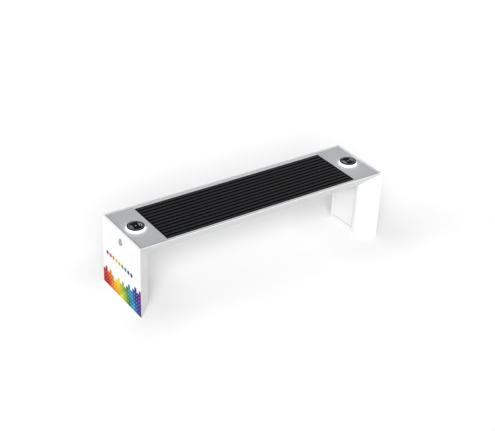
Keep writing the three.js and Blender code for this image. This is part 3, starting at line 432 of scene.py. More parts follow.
@dataclass(frozen=True)
class PlatedSteel(Finish):
    """Zinc-plated sheet with its faint crystal pattern, rolling lines and brighter edges."""

    gloss_span: tuple[float, float] = (-0.06, 0.1)
    crystal_scale: float = 90.0
    spangle_span: tuple[float, float] = (0.9, 1.08)
    rolled_along: Point = (0.05, 1.0, 1.0)
    line_scale: float = 700.0
    line_depth: float = 0.00003
    contrast: float = 0.16
    wear: float = 0.7
    edge_colour: Colour = (0.78, 0.78, 0.79)

    def sockets(self, surface: Surface) -> dict[str, object]:
        """Mixes the plating.

        Args:
            surface: The material that is being built.

        Returns:
            Shader input to its value, or to the output that feeds it.
        """
        tree = surface.tree
        crystals = tree.add("ShaderNodeTexVoronoi", {"Vector": surface.place, "Scale": self.crystal_scale})
        cell = tree.add("ShaderNodeSeparateColor", {0: crystals.outputs["Color"]}).outputs[0]
        lines = surface.lines(self.rolled_along, self.line_scale, self.contrast)
        tone = tree.maths("MULTIPLY", tree.spread(cell, WHOLE_SPAN, self.spangle_span), lines["Tone"])
        base = tree.toned(opaque(self.colour), tone)
        return {
            "Base Color": tree.blend(surface.wear(self.wear), base, opaque(self.edge_colour)),
            "Roughness": self.gloss(tree, cell, WHOLE_SPAN),
            "Metallic": 1.0,
            "Normal": tree.relief(lines["Height"], self.line_depth),
        }


@dataclass(frozen=True)
class BrushedMetal(Finish):
    """Brushed metal with lines along one direction."""

    gloss_span: tuple[float, float] = (-0.07, 0.09)
    lines_along: Point = (1.0, 0.04, 1.0)
    line_scale: float = 1500.0
    line_depth: float = 0.00002
    contrast: float = 0.14
    wear: float = 0.6
    wear_scale: float = 240.0
    edge_colour: Colour = (0.8, 0.79, 0.77)

    def sockets(self, surface: Surface) -> dict[str, object]:
        """Mixes the metal.

        Args:
            surface: The material that is being built.

        Returns:
            Shader input to its value, or to the output that feeds it.
        """
        tree = surface.tree
        lines = surface.lines(self.lines_along, self.line_scale, self.contrast)
        worn = surface.wear(self.wear, self.wear_scale)
        base = tree.toned(opaque(self.colour), lines["Tone"])
        return {
            "Base Color": tree.blend(worn, base, opaque(self.edge_colour)),
            "Roughness": self.gloss(tree, lines["Height"]),
            "Metallic": 1.0,
            "Normal": tree.relief(lines["Height"], self.line_depth),
        }


@dataclass(frozen=True)
class GrainyFinish(Finish):
    """Base of the finishes whose tone, gloss and relief come from one fine grain."""

    grain_scale: float = 1400.0
    grain_depth: float = 0.00005
    contrast: float = 0.08
    shine: float = 0.4

    def sockets(self, surface: Surface) -> dict[str, object]:
        """Mixes what the shader takes.

        Args:
            surface: The material that is being built.

        Returns:
            Shader input to its value, or to the output that feeds it.
        """
        tree = surface.tree
        grain = surface.grain(self.grain_scale, self.contrast)
        return {
            "Base Color": self.tint(surface, grain),
            "Roughness": self.gloss(tree, grain["Cloud"]),
            "Normal": tree.relief(grain["Height"], self.grain_depth),
            "Specular IOR Level": self.shine,
        }

    def tint(self, surface: Surface, grain: Outputs) -> Socket:
        """Mixes the colour of the grainy surface."""
        return surface.tree.toned(opaque(self.colour), grain["Tone"])


@dataclass(frozen=True)
class MouldedPlastic(GrainyFinish):
    """Moulded plastic with a spark-eroded texture and slightly polished edges."""

    wear: float = 0.6
    wear_scale: float = 120.0
    edge_lift: float = 1.5
    edge_floor: float = 0.004

    @property
    def edge_colour(self) -> Colour:
        """Colour of the polished edges."""
        return tuple(min(1.0, channel * self.edge_lift + self.edge_floor) for channel in self.colour)

    def tint(self, surface: Surface, grain: Outputs) -> Socket:
        """Lays the paler edges over the plastic."""
        worn = surface.wear(self.wear, self.wear_scale)
        return surface.tree.blend(worn, super().tint(surface, grain), opaque(self.edge_colour))


@dataclass(frozen=True)
class SoftRubber(GrainyFinish):
    """Rubber, foam or cable jacket: matt, with pores and a bloom of dust."""

    grain_scale: float = 900.0
    grain_depth: float = 0.0001
    contrast: float = 0.15
    shine: float = 0.3
    bloom: Colour = (0.09, 0.088, 0.085)
    bloom_span: tuple[float, float] = (0.45, 0.8)
    bloom_share: float = 0.5
    polish: float = 0.08
    dullest: float = 0.95

    def tint(self, surface: Surface, grain: Outputs) -> Socket:
        """Lays the bloom over the rubber."""
        bloom = surface.tree.spread(grain["Cloud"], self.bloom_span, (0.0, self.bloom_share))
        return surface.tree.blend(bloom, super().tint(surface, grain), opaque(self.bloom))

    def gloss(self, tree: ShaderTree, pattern: Socket, span: tuple[float, float] = PATTERN_SPAN) -> Socket:
        """Spreads a pattern from a little polish to the dullest."""
        return tree.spread(pattern, span, (self.roughness - self.polish, self.dullest))


@dataclass(frozen=True)
class CellStrip(GrainyFinish):
    """Near-black cell strip with a faint blue shift, cross fingers and cell joints."""

    grain_scale: float = 500.0
    grain_depth: float = 0.00003
    contrast: float = 0.16
    shine: float = 0.04
    finger_pitch: float = 0.0026
    finger_start: float = 3.0
    finger_width: float = 0.12
    finger_share: float = 0.45
    finger_colour: Colour = (0.03, 0.031, 0.034)
    cell_length: float = 0.1391
    cell_start: float = 30 * cell_length
    joint_width: float = 0.008
    joint_share: float = 0.7
    joint_colour: Colour = (0.004, 0.004, 0.005)

    def tint(self, surface: Surface, grain: Outputs) -> Socket:
        """Lays the cross fingers and the cell joints over the silicon.

        Args:
            surface: The material that is being built.
            grain: The surface's grain.

        Returns:
            The colour.
        """
        tree = surface.tree
        along = tree.parts(surface.place)["X"]
        colour = super().tint(surface, grain)
        for start, pitch, width, share, line_colour in (
            (self.finger_start, self.finger_pitch, self.finger_width, self.finger_share, self.finger_colour),
            (self.cell_start, self.cell_length, self.joint_width, self.joint_share, self.joint_colour),
        ):
            step = tree.maths("FRACT", tree.maths("DIVIDE", tree.maths("ADD", along, start), pitch))
            line = tree.maths("MULTIPLY", tree.maths("LESS_THAN", step, width), share)
            colour = tree.blend(line, colour, opaque(line_colour))
        return colour


@dataclass(frozen=True)
class GlowRing(GrainyFinish):
    """Milky diffuser that glows, a little stronger in its thick foot, and lights what lies around it."""

    gloss_span: tuple[float, float] = (-0.08, 0.05)
    grain_scale: float = 1200.0
    grain_depth: float = 0.00003
    contrast: float = 0.02
    shine: float = 0.5
    strength: float = 0.9
    cast: float = 4.0
    foot_height: float = 0.476
    ring_height: float = 0.013
    glow: Colour = (1.0, 0.995, 0.975)
    dimmer_glow: Colour = (0.86, 0.87, 0.88)

    def sockets(self, surface: Surface) -> dict[str, object]:
        """Mixes the diffuser.

        Args:
            surface: The material that is being built.

        Returns:
            Shader input to its value, or to the output that feeds it.
        """
        tree = surface.tree
        height = tree.maths("SUBTRACT", tree.parts(surface.place)["Z"], self.foot_height)
        rise = tree.maths("DIVIDE", height, self.ring_height, clamp=True)
        seen = tree.add("ShaderNodeLightPath").outputs["Is Camera Ray"]
        dimmed = tree.maths("MULTIPLY", seen, self.strength - self.cast)
        return {
            **super().sockets(surface),
            "Emission Color": tree.blend(rise, opaque(self.glow), opaque(self.dimmer_glow)),
            "Emission Strength": tree.maths("ADD", dimmed, self.cast),
        }


@dataclass(frozen=True)
class PrintedInk(GrainyFinish):
    """Screen-printed ink. With an attribute named, the mesh gives its colour, and it bounces plain light."""

    gloss_span: tuple[float, float] = (-0.05, 0.08)
    grain_scale: float = 1100.0
    grain_depth: float = 0.00002
    contrast: float = 0.04
    shine: float = 0.3
    attribute: str = ""
    bounced: Colour = (0.6, 0.6, 0.6)

    def tint(self, surface: Surface, grain: Outputs) -> Socket:
        """Reads the ink's colour from the mesh where an attribute is named.

        Args:
            surface: The material that is being built.
            grain: The surface's grain.

        Returns:
            The colour.
        """
        if not self.attribute:
            return super().tint(surface, grain)
        tree = surface.tree
        bounce = tree.add("ShaderNodeLightPath").outputs["Is Diffuse Ray"]
        ink = tree.blend(bounce, tree.mark(self.attribute, "Color"), opaque(self.bounced))
        return tree.toned(ink, grain["Tone"])


@dataclass(frozen=True)
class WovenWebbing(Finish):
    """Woven strap: two sets of threads that cross, with fuzz between them."""

    thread_scale: float = 420.0
    thread_depth: float = 0.0003
    thread_wander: float = 0.4
    fuzz_scale: float = 1500.0
    fuzz_contrast: float = 0.2
    shade_span: tuple[float, float] = (0.55, 1.2)
    dullest: float = 0.95

    def sockets(self, surface: Surface) -> dict[str, object]:
        """Mixes the webbing.

        Args:
            surface: The material that is being built.

        Returns:
            Shader input to its value, or to the output that feeds it.
        """
        tree = surface.tree
        values = {"Vector": surface.place, "Scale": self.thread_scale, "Distortion": self.thread_wander}
        threads = [tree.add("ShaderNodeTexWave", values, bands_direction=way).outputs["Fac"] for way in "XY"]
        weave = tree.maths("MAXIMUM", *threads)
        fuzz = surface.grain(self.fuzz_scale, self.fuzz_contrast)["Tone"]
        tone = tree.maths("MULTIPLY", tree.spread(weave, WHOLE_SPAN, self.shade_span), fuzz)
        return {
            "Base Color": tree.toned(opaque(self.colour), tone),
            "Roughness": tree.spread(weave, WHOLE_SPAN, (self.dullest, self.roughness)),
            "Normal": tree.relief(weave, self.thread_depth),
        }


WHITE_COAT = PowderCoat("white_powder_coat", (0.773, 0.773, 0.778), "shell", 0.42)
DECK_COAT = PowderCoat(
    "deck_powder_coat",
    (0.37, 0.373, 0.388),
    "deck",
    0.58,
    peel_scale=900.0,
    peel_depth=0.00009,
    contrast=0.035,
    # Painted light: this lighter edge colour, spread over the marked edges, paints the bounce light of the
    # white lip on the deck's border; it is not wear.
    wear_and_bounce_colour=(0.45, 0.45, 0.46),
    wear=0.4,
    coat=0.0,
    shine=0.35,
)
ZINC = PlatedSteel("zinc_plated_steel", (0.56, 0.57, 0.59), "bare_steel", 0.38)
SATIN_STEEL = BrushedMetal("satin_stainless_steel", (0.4, 0.395, 0.385), "socket_metal", 0.34)
COPPER = BrushedMetal("enamelled_copper", (0.62, 0.27, 0.12), "copper", 0.32, line_scale=2200.0)
CONTACT_BRASS = BrushedMetal("contact_brass", (0.72, 0.55, 0.27), "copper", 0.3, line_scale=2600.0)
BLACK_PLASTIC = MouldedPlastic("black_moulded_plastic", (0.012, 0.012, 0.013), "black_plastic", 0.42)
DISC_BLACK = MouldedPlastic(
    "satin_black_disc", (0.0045, 0.0045, 0.005), "black_plastic", 0.4, grain_depth=0.00003, shine=0.01
)
BATTERY_BLUE = MouldedPlastic("blue_battery_case", (0.023, 0.045, 0.107), "battery_case", 0.5)
CONTROLLER_GREY = MouldedPlastic(
    "dark_anodised_case", (0.045, 0.049, 0.056), "controller_case", 0.4, shine=0.6
)
MODULE_GREY = MouldedPlastic("grey_anodised_case", (0.27, 0.285, 0.3), "module_case", 0.42, shine=0.6)
BREAKER_WHITE = MouldedPlastic("pale_breaker_case", (0.72, 0.72, 0.69), "breaker_case", 0.55, edge_lift=1.1)
LEVER_BLUE = MouldedPlastic("blue_lever", (0.025, 0.114, 0.392), "lever", 0.42)
SEALANT = SoftRubber("panel_sealant", (0.014, 0.014, 0.015), "sealant", 0.8)
FOAM = SoftRubber("door_foam", (0.02, 0.02, 0.021), "sealant", 0.9, grain_scale=600.0, grain_depth=0.0004)
JACKET = SoftRubber("cable_jacket", (0.011, 0.011, 0.012), "cable_jacket", 0.6, grain_depth=0.00004)
BACKSHEET = MouldedPlastic("black_backsheet", (0.01, 0.01, 0.011), "backsheet", 0.6)
PANEL_BED = MouldedPlastic(
    "panel_bed", (0.002, 0.002, 0.0023), "glass", 0.5, grain_depth=0.00002, shine=0.0
)
CELLS = CellStrip("cell_strips", (0.0125, 0.0128, 0.0142), "cells", 0.32)
DIFFUSER = GlowRing("glowing_diffuser", (0.92, 0.92, 0.9), "diffuser")
WEBBING = WovenWebbing("strap_webbing", (0.035, 0.036, 0.038), "strap", 0.8)
DISC_PRINT = PrintedInk("disc_print", (0.42, 0.425, 0.43), "black_plastic", 0.5)
TRIM_GREY = PowderCoat("panel_trim_coat", (0.5, 0.503, 0.515), "deck", 0.5, coat=0.0, shine=0.35)
TILE_INK = PrintedInk("tile_ink", (0.5, 0.2, 0.2), "shell", 0.4, attribute="ink", shine=0.03)
LABEL_PALE = PrintedInk("pale_label", (0.62, 0.62, 0.6), "breaker_case", 0.5)
TERMINAL_RED = MouldedPlastic("red_terminal_collar", (0.42, 0.02, 0.015), "lever", 0.45)
LIGHT_GREEN = MouldedPlastic("green_status_light", (0.03, 0.42, 0.08), "lever", 0.3)


class PaintShop:
    """Builds each finish's material once."""

    def __init__(self, shelf: GroupShelf) -> None:
        """Starts with the shared node groups and no materials."""
        self.shelf = shelf
        self.made: dict[str, bpy.types.Material] = {}

    def material(self, finish: Finish) -> bpy.types.Material:
        """Gives a finish's material.

        Args:
            finish: The finish.

        Returns:
            Its material.
        """
        if finish.name not in self.made:
            self.made[finish.name] = finish.build(self.shelf)
        return self.made[finish.name]


# ---------------------------------------------------------------- shape building


@dataclass(frozen=True)
class Rounding:
    """How edges are rounded: width, steps, sharpest angle left alone in degrees, shortest edge rounded."""

    width: float = 0.0
    segments: int = 2
    sharpest: float = 30.0
    shortest: float = 0.0


SHARP = Rounding()
FINE_EDGE = Rounding(0.0003, 1)
THIN_EDGE = Rounding(0.0002, 1)
PRINT_EDGE = Rounding(0.0001, 1)
RIB_EDGE = Rounding(0.0005)
SOFT_EDGE = Rounding(0.0006)

Spared = Callable[[Vector], bool]
Corner = bmesh.types.BMVert
Face = bmesh.types.BMFace


class Shape:
    """A mesh under construction, whose rounded edges are marked on their faces for the wear."""

    node_weld = 0.000002
    spin_weld = 0.000001
    flat_angle = math.radians(0.8)
    weld_weight = 90

    def __init__(self) -> None:
        """Starts with an empty mesh."""
        self.mesh = bmesh.new()
        self.edge = self.mesh.faces.layers.float.new("edge")

    def take_node(self, node: str, rounding: Rounding, spared: Spared | None = None) -> "Shape":
        """Takes a CAD node's shape, makes its flat faces whole and rounds its outer edges.

        Args:
            node: Name of the CAD node.
            rounding: How its edges are rounded.
            spared: Says of a point whether edges that lie on such points stay sharp.

        Returns:
            This shape.
        """
        mesh = self.mesh
        mesh.from_mesh(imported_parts[node].data)
        layers = mesh.faces.layers.float
        self.edge = layers.get("edge") or layers.new("edge")
        bmesh.ops.remove_doubles(mesh, verts=mesh.verts, dist=self.node_weld)
        bmesh.ops.dissolve_limit(mesh, angle_limit=self.flat_angle, verts=mesh.verts, edges=mesh.edges)
        bmesh.ops.recalc_face_normals(mesh, faces=mesh.faces)
        self._round(list(mesh.verts), rounding, spared)
        return self

    def _round(self, verts: Sequence[Corner], rounding: Rounding, spared: Spared | None = None) -> None:
        """Rounds the outer edges between some corners.

        Args:
            verts: The corners.
            rounding: How the edges are rounded.
            spared: Says of a point whether edges that lie on such points stay sharp.
        """
        if not rounding.width:
            return
        edges = []
        for edge in dict.fromkeys(edge for vert in verts for edge in vert.link_edges):
            if not edge.is_manifold or not edge.is_convex or edge.calc_length() < rounding.shortest:
                continue
            if edge.calc_face_angle(0.0) < math.radians(rounding.sharpest):
                continue
            if spared and all(spared(vert.co) for vert in edge.verts):
                continue
            edges.append(edge)
        made = bmesh.ops.bevel(
            self.mesh,
            geom=edges,
            offset=rounding.width,
            offset_type="OFFSET",
            affect="EDGES",
            segments=rounding.segments,
            profile=0.5,
            material=-1,
            clamp_overlap=True,
        )
        for face in made["faces"]:
            face[self.edge] = 1.0

    def _settle(self, before: set, matrix: Matrix) -> list[Corner]:
        """Turns the faces made since a moment outwards and carries them to their place.

        Args:
            before: The corners that were there at that moment.
            matrix: Where the new part goes.

        Returns:
            The new corners.
        """
        fresh = [vert for vert in self.mesh.verts if vert not in before]
        bmesh.ops.recalc_face_normals(self.mesh, faces=self._faces(fresh))
        bmesh.ops.transform(self.mesh, matrix=matrix, verts=fresh)
        return fresh

    @staticmethod
    def _faces(verts: Sequence[Corner]) -> list[Face]:
        """Lists the faces around some corners, each once."""
        return list(dict.fromkeys(face for vert in verts for face in vert.link_faces))

    def box(self, low: Point, high: Point, rounding: Rounding = SHARP) -> "Shape":
        """Adds a block.

        Args:
            low: Its lowest corner.
            high: Its highest corner.
            rounding: How its edges are rounded.

        Returns:
            This shape.
        """
        size = Vector(high) - Vector(low)
        place = Matrix.Translation((Vector(low) + Vector(high)) / 2) @ Matrix.Diagonal((*size, 1.0))
        made = bmesh.ops.create_cube(self.mesh, size=1.0, matrix=place)
        self._round(made["verts"], rounding)
        return self

    def border(
        self, reach: Sequence[float], width: float, heights: Sequence[float], rounding: Rounding
    ) -> "Shape":
        """Adds a four-sided frame around the bench's middle.

        Args:
            reach: Its half length and half depth, outside.
            width: Width of its bars.
            heights: Height of its underside and of its top.
            rounding: How its edges are rounded.

        Returns:
            This shape.
        """
        along, across = reach
        low, high = heights
        for side in (-1, 1):
            near, far = sorted((side * across, side * (across - width)))
            self.box((-along, near, low), (along, far, high), rounding)
            left, right = sorted((side * along, side * (along - width)))
            self.box((left, width - across, low), (right, across - width, high), rounding)
        return self

    def rod(
        self,
        start: Point,
        radius: float,
        length: float,
        axis: Axis = Axis.Z,
        rounding: Rounding = SHARP,
        segments: int = 32,
    ) -> "Shape":
        """Adds a straight round or many-sided rod.

        Args:
            start: Middle of its first end.
            radius: Its radius.
            length: Its length, below zero to point backwards.
            axis: Direction in which it points.
            rounding: How its edges are rounded.
            segments: Number of sides.

        Returns:
            This shape.
        """
        place = Matrix.Translation(start) @ axis.turn @ Matrix.Translation((0.0, 0.0, length / 2))
        made = bmesh.ops.create_cone(
            self.mesh,
            cap_ends=True,
            cap_tris=False,
            segments=segments,
            radius1=radius,
            radius2=radius,
            depth=abs(length),
            matrix=place,
        )
        self._round(made["verts"], rounding)
        return self

    def spun(
        self, profile: Profile, centre: Point, axis: Axis = Axis.Z, segments: int = 96, ring: bool = False
    ) -> "Shape":
        """Adds a turned piece.

        Args:
            profile: Radius and height of each point, from the lowest to the highest.
            centre: Point from which the heights are measured.
            axis: Direction of the turning axis.
            segments: Number of steps around.
            ring: Whether the profile closes on itself, for a piece with a bore.

        Returns:
            This shape.
        """
        before = set(self.mesh.verts)
        verts = [self.mesh.verts.new((radius, 0.0, height)) for radius, height in profile]
        pairs = zip(verts, verts[1:] + verts[:1] if ring else verts[1:])
        edges = [self.mesh.edges.new(pair) for pair in pairs]
        bmesh.ops.spin(
            self.mesh,
            geom=[*verts, *edges],
            cent=(0.0, 0.0, 0.0),
            axis=(0.0, 0.0, 1.0),
            angle=math.tau,
            steps=segments,
            use_merge=True,
            use_duplicate=False,
        )
        fresh = [vert for vert in self.mesh.verts if vert not in before]
        bmesh.ops.remove_doubles(self.mesh, verts=fresh, dist=self.spin_weld)
        self._settle(before, Matrix.Translation(centre) @ axis.turn)
        return self

    def slab(self, outline: Profile, low: float, high: float, place: Matrix) -> list[Face]:
        """Adds an outlined slab.

        Args:
            outline: Corners of its outline.
            low: Height of its underside.
            high: Height of its top.
            place: Matrix that carries the outline's plane to the bench.

        Returns:
            The slab's faces.
        """
        before = set(self.mesh.verts)
        verts = [self.mesh.verts.new((*point, low)) for point in outline]
        edges = [self.mesh.edges.new(pair) for pair in zip(verts, verts[1:] + verts[:1])]
        sheet = bmesh.ops.edgeloop_fill(self.mesh, edges=edges)["faces"]
        grown = bmesh.ops.extrude_face_region(self.mesh, geom=sheet)["geom"]
        tops = [item for item in grown if isinstance(item, Corner)]
        bmesh.ops.translate(self.mesh, vec=(0.0, 0.0, high - low), verts=tops)
        return self._faces(self._settle(before, place))

    def turned(self, matrix: Matrix) -> "Shape":
        """Moves everything made so far and gives this shape."""
        bmesh.ops.transform(self.mesh, matrix=matrix, verts=self.mesh.verts)
        return self

    def piece(self, name: str, smooth: float = 38.0) -> bpy.types.Object:
        """Turns the shape into an object with soft shading between its flats.

        Args:
            name: Name of the object.
            smooth: Sharpest angle, in degrees, that is shaded softly.

        Returns:
            The object.
        """
        mesh = bpy.data.meshes.new(name)
        self.mesh.to_mesh(mesh)
        self.mesh.free()
        for polygon in mesh.polygons:
            polygon.use_smooth = True
        mesh.set_sharp_from_angle(angle=math.radians(smooth))
        made = linked(name, mesh)
        weighted = made.modifiers.new("flats_stay_flat", "WEIGHTED_NORMAL")
        weighted.weight = self.weld_weight
        weighted.keep_sharp = True
        return made


def linked(name: str, data: bpy.types.ID) -> bpy.types.Object:
    """Makes an object and puts it in the scene.

    Args:
        name: Name of the object.
        data: Its mesh, light or camera.

    Returns:
        The object.
    """
    made = bpy.data.objects.new(name, data)
    bpy.context.scene.collection.objects.link(made)
    return made


def row_of(count: int, pitch: float, middle: float = 0.0) -> list[float]:
    """Places of evenly spaced things around a middle."""
    return [middle + (step - (count - 1) / 2) * pitch for step in range(count)]


def rounded_outline(size: float, radius: float, steps: int, middle: Sequence[float] = (0.0, 0.0)) -> Profile:
    """Outline of a square with rounded corners.

    Args:
        size: Its side.
        radius: Radius of its corners.
        steps: Steps around each corner.
        middle: Where its middle lies.

    Returns:
        The outline's points.
    """
    points = []
    for quarter, corner in enumerate(((1, 1), (-1, 1), (-1, -1), (1, -1))):
        across, up = (centre + side * (size / 2 - radius) for centre, side in zip(middle, corner))
        for step in range(steps + 1):
            angle = math.pi / 2 * (quarter + step / steps)
            points.append((across + radius * math.cos(angle), up + radius * math.sin(angle)))
    return points


def arc_outline(inner: float, outer: float, span: tuple[float, float], steps: int = 16) -> Profile:
    """Outline of a curved band.

    Args:
        inner: Inner radius.
        outer: Outer radius.
        span: First and last angle in degrees.
        steps: Steps along the band.

    Returns:
        The outline's points.
    """
    start, end = span
    angles = [math.radians(start + (end - start) * step / steps) for step in range(steps + 1)]
    outside = [(outer * math.cos(angle), outer * math.sin(angle)) for angle in angles]
    inside = [(inner * math.cos(angle), inner * math.sin(angle)) for angle in reversed(angles)]
    return outside + inside


@dataclass(frozen=True)
class CadPart:
    """A CAD node that is shown with rounded edges: its name, its finish, its edges and its body."""

    node: str
    finish: Finish
    edges: Rounding
    body: str = "bench"

    def at(self, end: End) -> "CadPart":
        """The same part under one end's names."""
        body = self.body if self.body == "bench" else end.named(self.body)
        return replace(self, node=end.named(self.node), body=body)


@dataclass
class SubAssembly:
    """Base of the sub-assemblies, which keeps each piece with the finish that it wears."""

    cad_parts: tuple[CadPart, ...] = ()

    def __post_init__(self) -> None:
        """Starts with no pieces."""
        self.worn: list[tuple[bpy.types.Object, Finish]] = []

    def add(self, name: str, shape: Shape, finish: Finish, body: str = "bench", *replaced: str) -> None:
        """Keeps a finished shape as a piece.

        Args:
            name: Name of the piece.
            shape: Its shape.
            finish: The finish that it wears.
            body: Body that it rides on.
            replaced: CAD nodes that it stands for.
        """
        made = shape.piece(name)
        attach(made, body)
        if replaced:
            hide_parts(*replaced)
        self.worn.append((made, finish))

    def refine(self, part: CadPart, spared: Spared | None = None) -> None:
        """Stands a piece with rounded edges in for a CAD node, with spared points left sharp."""
        shape = Shape().take_node(part.node, part.edges, spared)
        self.add(f"{part.node}_finished", shape, part.finish, part.body, part.node)

    def refine_all(self) -> None:
        """Stands pieces with rounded edges in for the CAD nodes of this sub-assembly."""
        for part in self.cad_parts:
            self.refine(part)

    def build(self) -> None:
        """Builds the pieces."""
        raise NotImplementedError

    def dress(self, shop: PaintShop) -> None:
        """Gives each piece its finish.

        Args:
            shop: Where the materials are made.
        """
        for made, finish in self.worn:
            made.data.materials.clear()
            made.data.materials.append(shop.material(finish))


@dataclass
class EndPart(SubAssembly):
    """Base of the sub-assemblies that both ends have."""

    end: End = End.LEFT

    def carry(self, stem: str, shape: Shape, finish: Finish, body: str = "bench") -> None:
        """Keeps a shape that was drawn at the left end as this end's piece."""
        self.add(self.end.named(stem), shape.turned(self.end.turn), finish, body)

    def stand_in(self, stem: str, shape: Shape, finish: Finish, node: str) -> None:
        """Keeps a shape as this end's piece, in place of this end's CAD node."""
        self.add(self.end.named(stem), shape, finish, "bench", self.end.named(node))

    def refine_all(self) -> None:
        """Stands pieces with rounded edges in for this end's CAD nodes."""
        for part in self.cad_parts:
            self.refine(part.at(self.end))


# ---------------------------------------------------------------- sub-assemblies


@dataclass
class CoatedShell(SubAssembly):
    """The seat trough and the two leg boxes, which meet in mitres."""

    edges: Rounding = Rounding(0.0013, 3, shortest=0.012)
    mitre_x: float = 0.794
    mitre_z: float = 0.371
    mitre_slope: float = 106 / 113
    mitre_reach: float = 0.0007

    def on_mitre(self, point: Vector) -> bool:
        """Whether a point lies where the seat meets a leg."""
        along = self.mitre_x + (point.z - self.mitre_z) * self.mitre_slope
        return abs(abs(point.x) - along) < self.mitre_reach

    def build(self) -> None:
        """Builds the three boxes."""
        for node in ("seat_shell", "leg_shell_left", "leg_shell_right"):
            self.refine(CadPart(node, WHITE_COAT, self.edges), self.on_mitre)


@dataclass
class SeatFrame(SubAssembly):
    """Ribs, corner brackets with their bolts, and foot plates."""

    edges: Rounding = Rounding(0.0008, 2, shortest=0.01)
    bolt_across: float = 0.0075
    bolt_height: float = 0.0046
    bolt_sides: int = 6
    washer_radius: float = 0.0085
    washer_height: float = 0.0008
    seat_bolt_setback: float = 0.041
    leg_bolt_drop: float = 0.016
    bolt_count: int = 3
    bolt_pitch: float = 0.06

    def build(self) -> None:
        """Builds the frame."""
        for where in ("left", "middle", "right"):
            self.refine(CadPart(f"seat_rib_{where}", ZINC, self.edges))
        for end in End:
            for stem in ("corner_bracket", "foot_plate"):
                self.refine(CadPart(end.named(stem), ZINC, self.edges))
            self.add(end.named("bracket_bolts"), self._bolts().turned(end.turn), SATIN_STEEL)

    def _bolts(self) -> Shape:
        """Draws the hexagon bolts of one bracket.

        Returns:
            The shape.
        """
        shape = Shape()
        low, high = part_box(End.LEFT.named("corner_bracket"))
        seat_x, leg_z = low.x + self.seat_bolt_setback, high.z - self.leg_bolt_drop
        radius, washer = self.washer_radius, self.washer_height
        across, height, sides = self.bolt_across, self.bolt_height, self.bolt_sides
        for y in row_of(self.bolt_count, self.bolt_pitch):
            shape.rod((seat_x, y, high.z), radius, washer)
            shape.rod((seat_x, y, high.z + washer), across, height, Axis.Z, SOFT_EDGE, sides)
            shape.rod((low.x, y, leg_z), radius, -washer, Axis.X)
            shape.rod((low.x - washer, y, leg_z), across, -height, Axis.X, SOFT_EDGE, sides)
        return shape


@dataclass
class SolarDeck(SubAssembly):
    """Deck plate with the strip-cell panel let into it, and the junction box below."""

    cad_parts: tuple[CadPart, ...] = (
        CadPart("deck_plate", DECK_COAT, Rounding(0.0009, 2, shortest=0.004)),
        CadPart("panel_seal", SEALANT, Rounding(0.0003, 1, shortest=0.004)),
        CadPart("panel_backsheet", BACKSHEET, FINE_EDGE),
    )
    junction_box: CadPart = CadPart("panel_junction_box", BLACK_PLASTIC, Rounding(0.0015, 3))
    half_length: float = 0.6955
    half_depth: float = 0.199
    bed_low: float = 0.4710
    bed_top: float = 0.47575
    strip_low: float = 0.4754
    strip_top: float = 0.476
    strips: int = 12
    strip_gap: float = 0.0146
    end_margin: float = 0.007
    lid_rib_pitch: float = 0.012
    lid_rib_half: float = 0.0012
    lid_rib_margin: float = 0.006
    lid_rib_root: float = 0.001
    fold_height: float = 0.0073
    fold_thickness: float = 0.0013
    fold_root: float = 0.0002
    bead_width: float = 0.0018
    bead_height: float = 0.0018
    bead_crown: float = 0.0003
    bead_edge: Rounding = Rounding(0.0004, 2)
    lip_gap: float = 0.0009
    trim_inner: float = 0.1983
    trim_outer: float = 0.2165
    trim_height: float = 0.0006
    trim_root: float = 0.0003
    trim_overlap: float = 0.001
    trim_edge: Rounding = Rounding(0.0003)

    def build(self) -> None:
        """Builds the deck and the panel."""
        self.refine_all()
        low = (-self.half_length, -self.half_depth, self.bed_low)
        bed = Shape().box(low, (self.half_length, self.half_depth, self.bed_top), SOFT_EDGE)
        self.add("panel_laminate", bed, PANEL_BED, "bench", "panel_glass")
        self._cells()
        self._edges()
        self.refine(self.junction_box)
        self._lid_ribs()

    def _cells(self) -> None:
        """Builds the lengthwise cell strips."""
        shape = Shape()
        pitch = 2 * self.half_depth / self.strips
        reach = self.half_length - self.end_margin
        side = (pitch - self.strip_gap) / 2
        for middle in row_of(self.strips, pitch):
            low = (-reach, middle - side, self.strip_low)
            shape.box(low, (reach, middle + side, self.strip_top), THIN_EDGE)
        self.add("panel_strips", shape, CELLS, "bench", "panel_cell_sheet")

    def _edges(self) -> None:
        """Builds the deck's folded edge, the bead that closes its gap, and the trims along the panel."""
        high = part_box("deck_plate")[1]
        fold_top = high.z + self.fold_height
        fold_heights = (high.z - self.fold_root, fold_top)
        fold = Shape().border((high.x, high.y), self.fold_thickness, fold_heights, FINE_EDGE)
        self.add("deck_folded_edge", fold, TRIM_GREY)
        reach = (high.x + self.lip_gap, high.y + self.lip_gap)
        bead_heights = (fold_top - self.bead_height, fold_top + self.bead_crown)
        bead = Shape().border(reach, self.bead_width, bead_heights, self.bead_edge)
        self.add("deck_edge_bead", bead, SEALANT)
        trims = Shape()
        along = self.half_length + self.trim_overlap
        for side in (-1, 1):
            near, far = sorted((side * self.trim_inner, side * self.trim_outer))
            low = (-along, near, high.z - self.trim_root)
            trims.box(low, (along, far, high.z + self.trim_height), self.trim_edge)
        self.add("panel_side_trims", trims, TRIM_GREY)

    def _lid_ribs(self) -> None:
        """Builds the ribs of the junction box lid."""
        shape = Shape()
        low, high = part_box("panel_junction_box")
        half, margin = self.lid_rib_half, self.lid_rib_margin
        count = int((high.x - low.x) / self.lid_rib_pitch) - 1
        for x in row_of(count, self.lid_rib_pitch, (low.x + high.x) / 2):
            start = (x - half, low.y + margin, low.z - half)
            shape.box(start, (x + half, high.y - margin, low.z + self.lid_rib_root), RIB_EDGE)
        self.add("junction_box_ribs", shape, BLACK_PLASTIC)


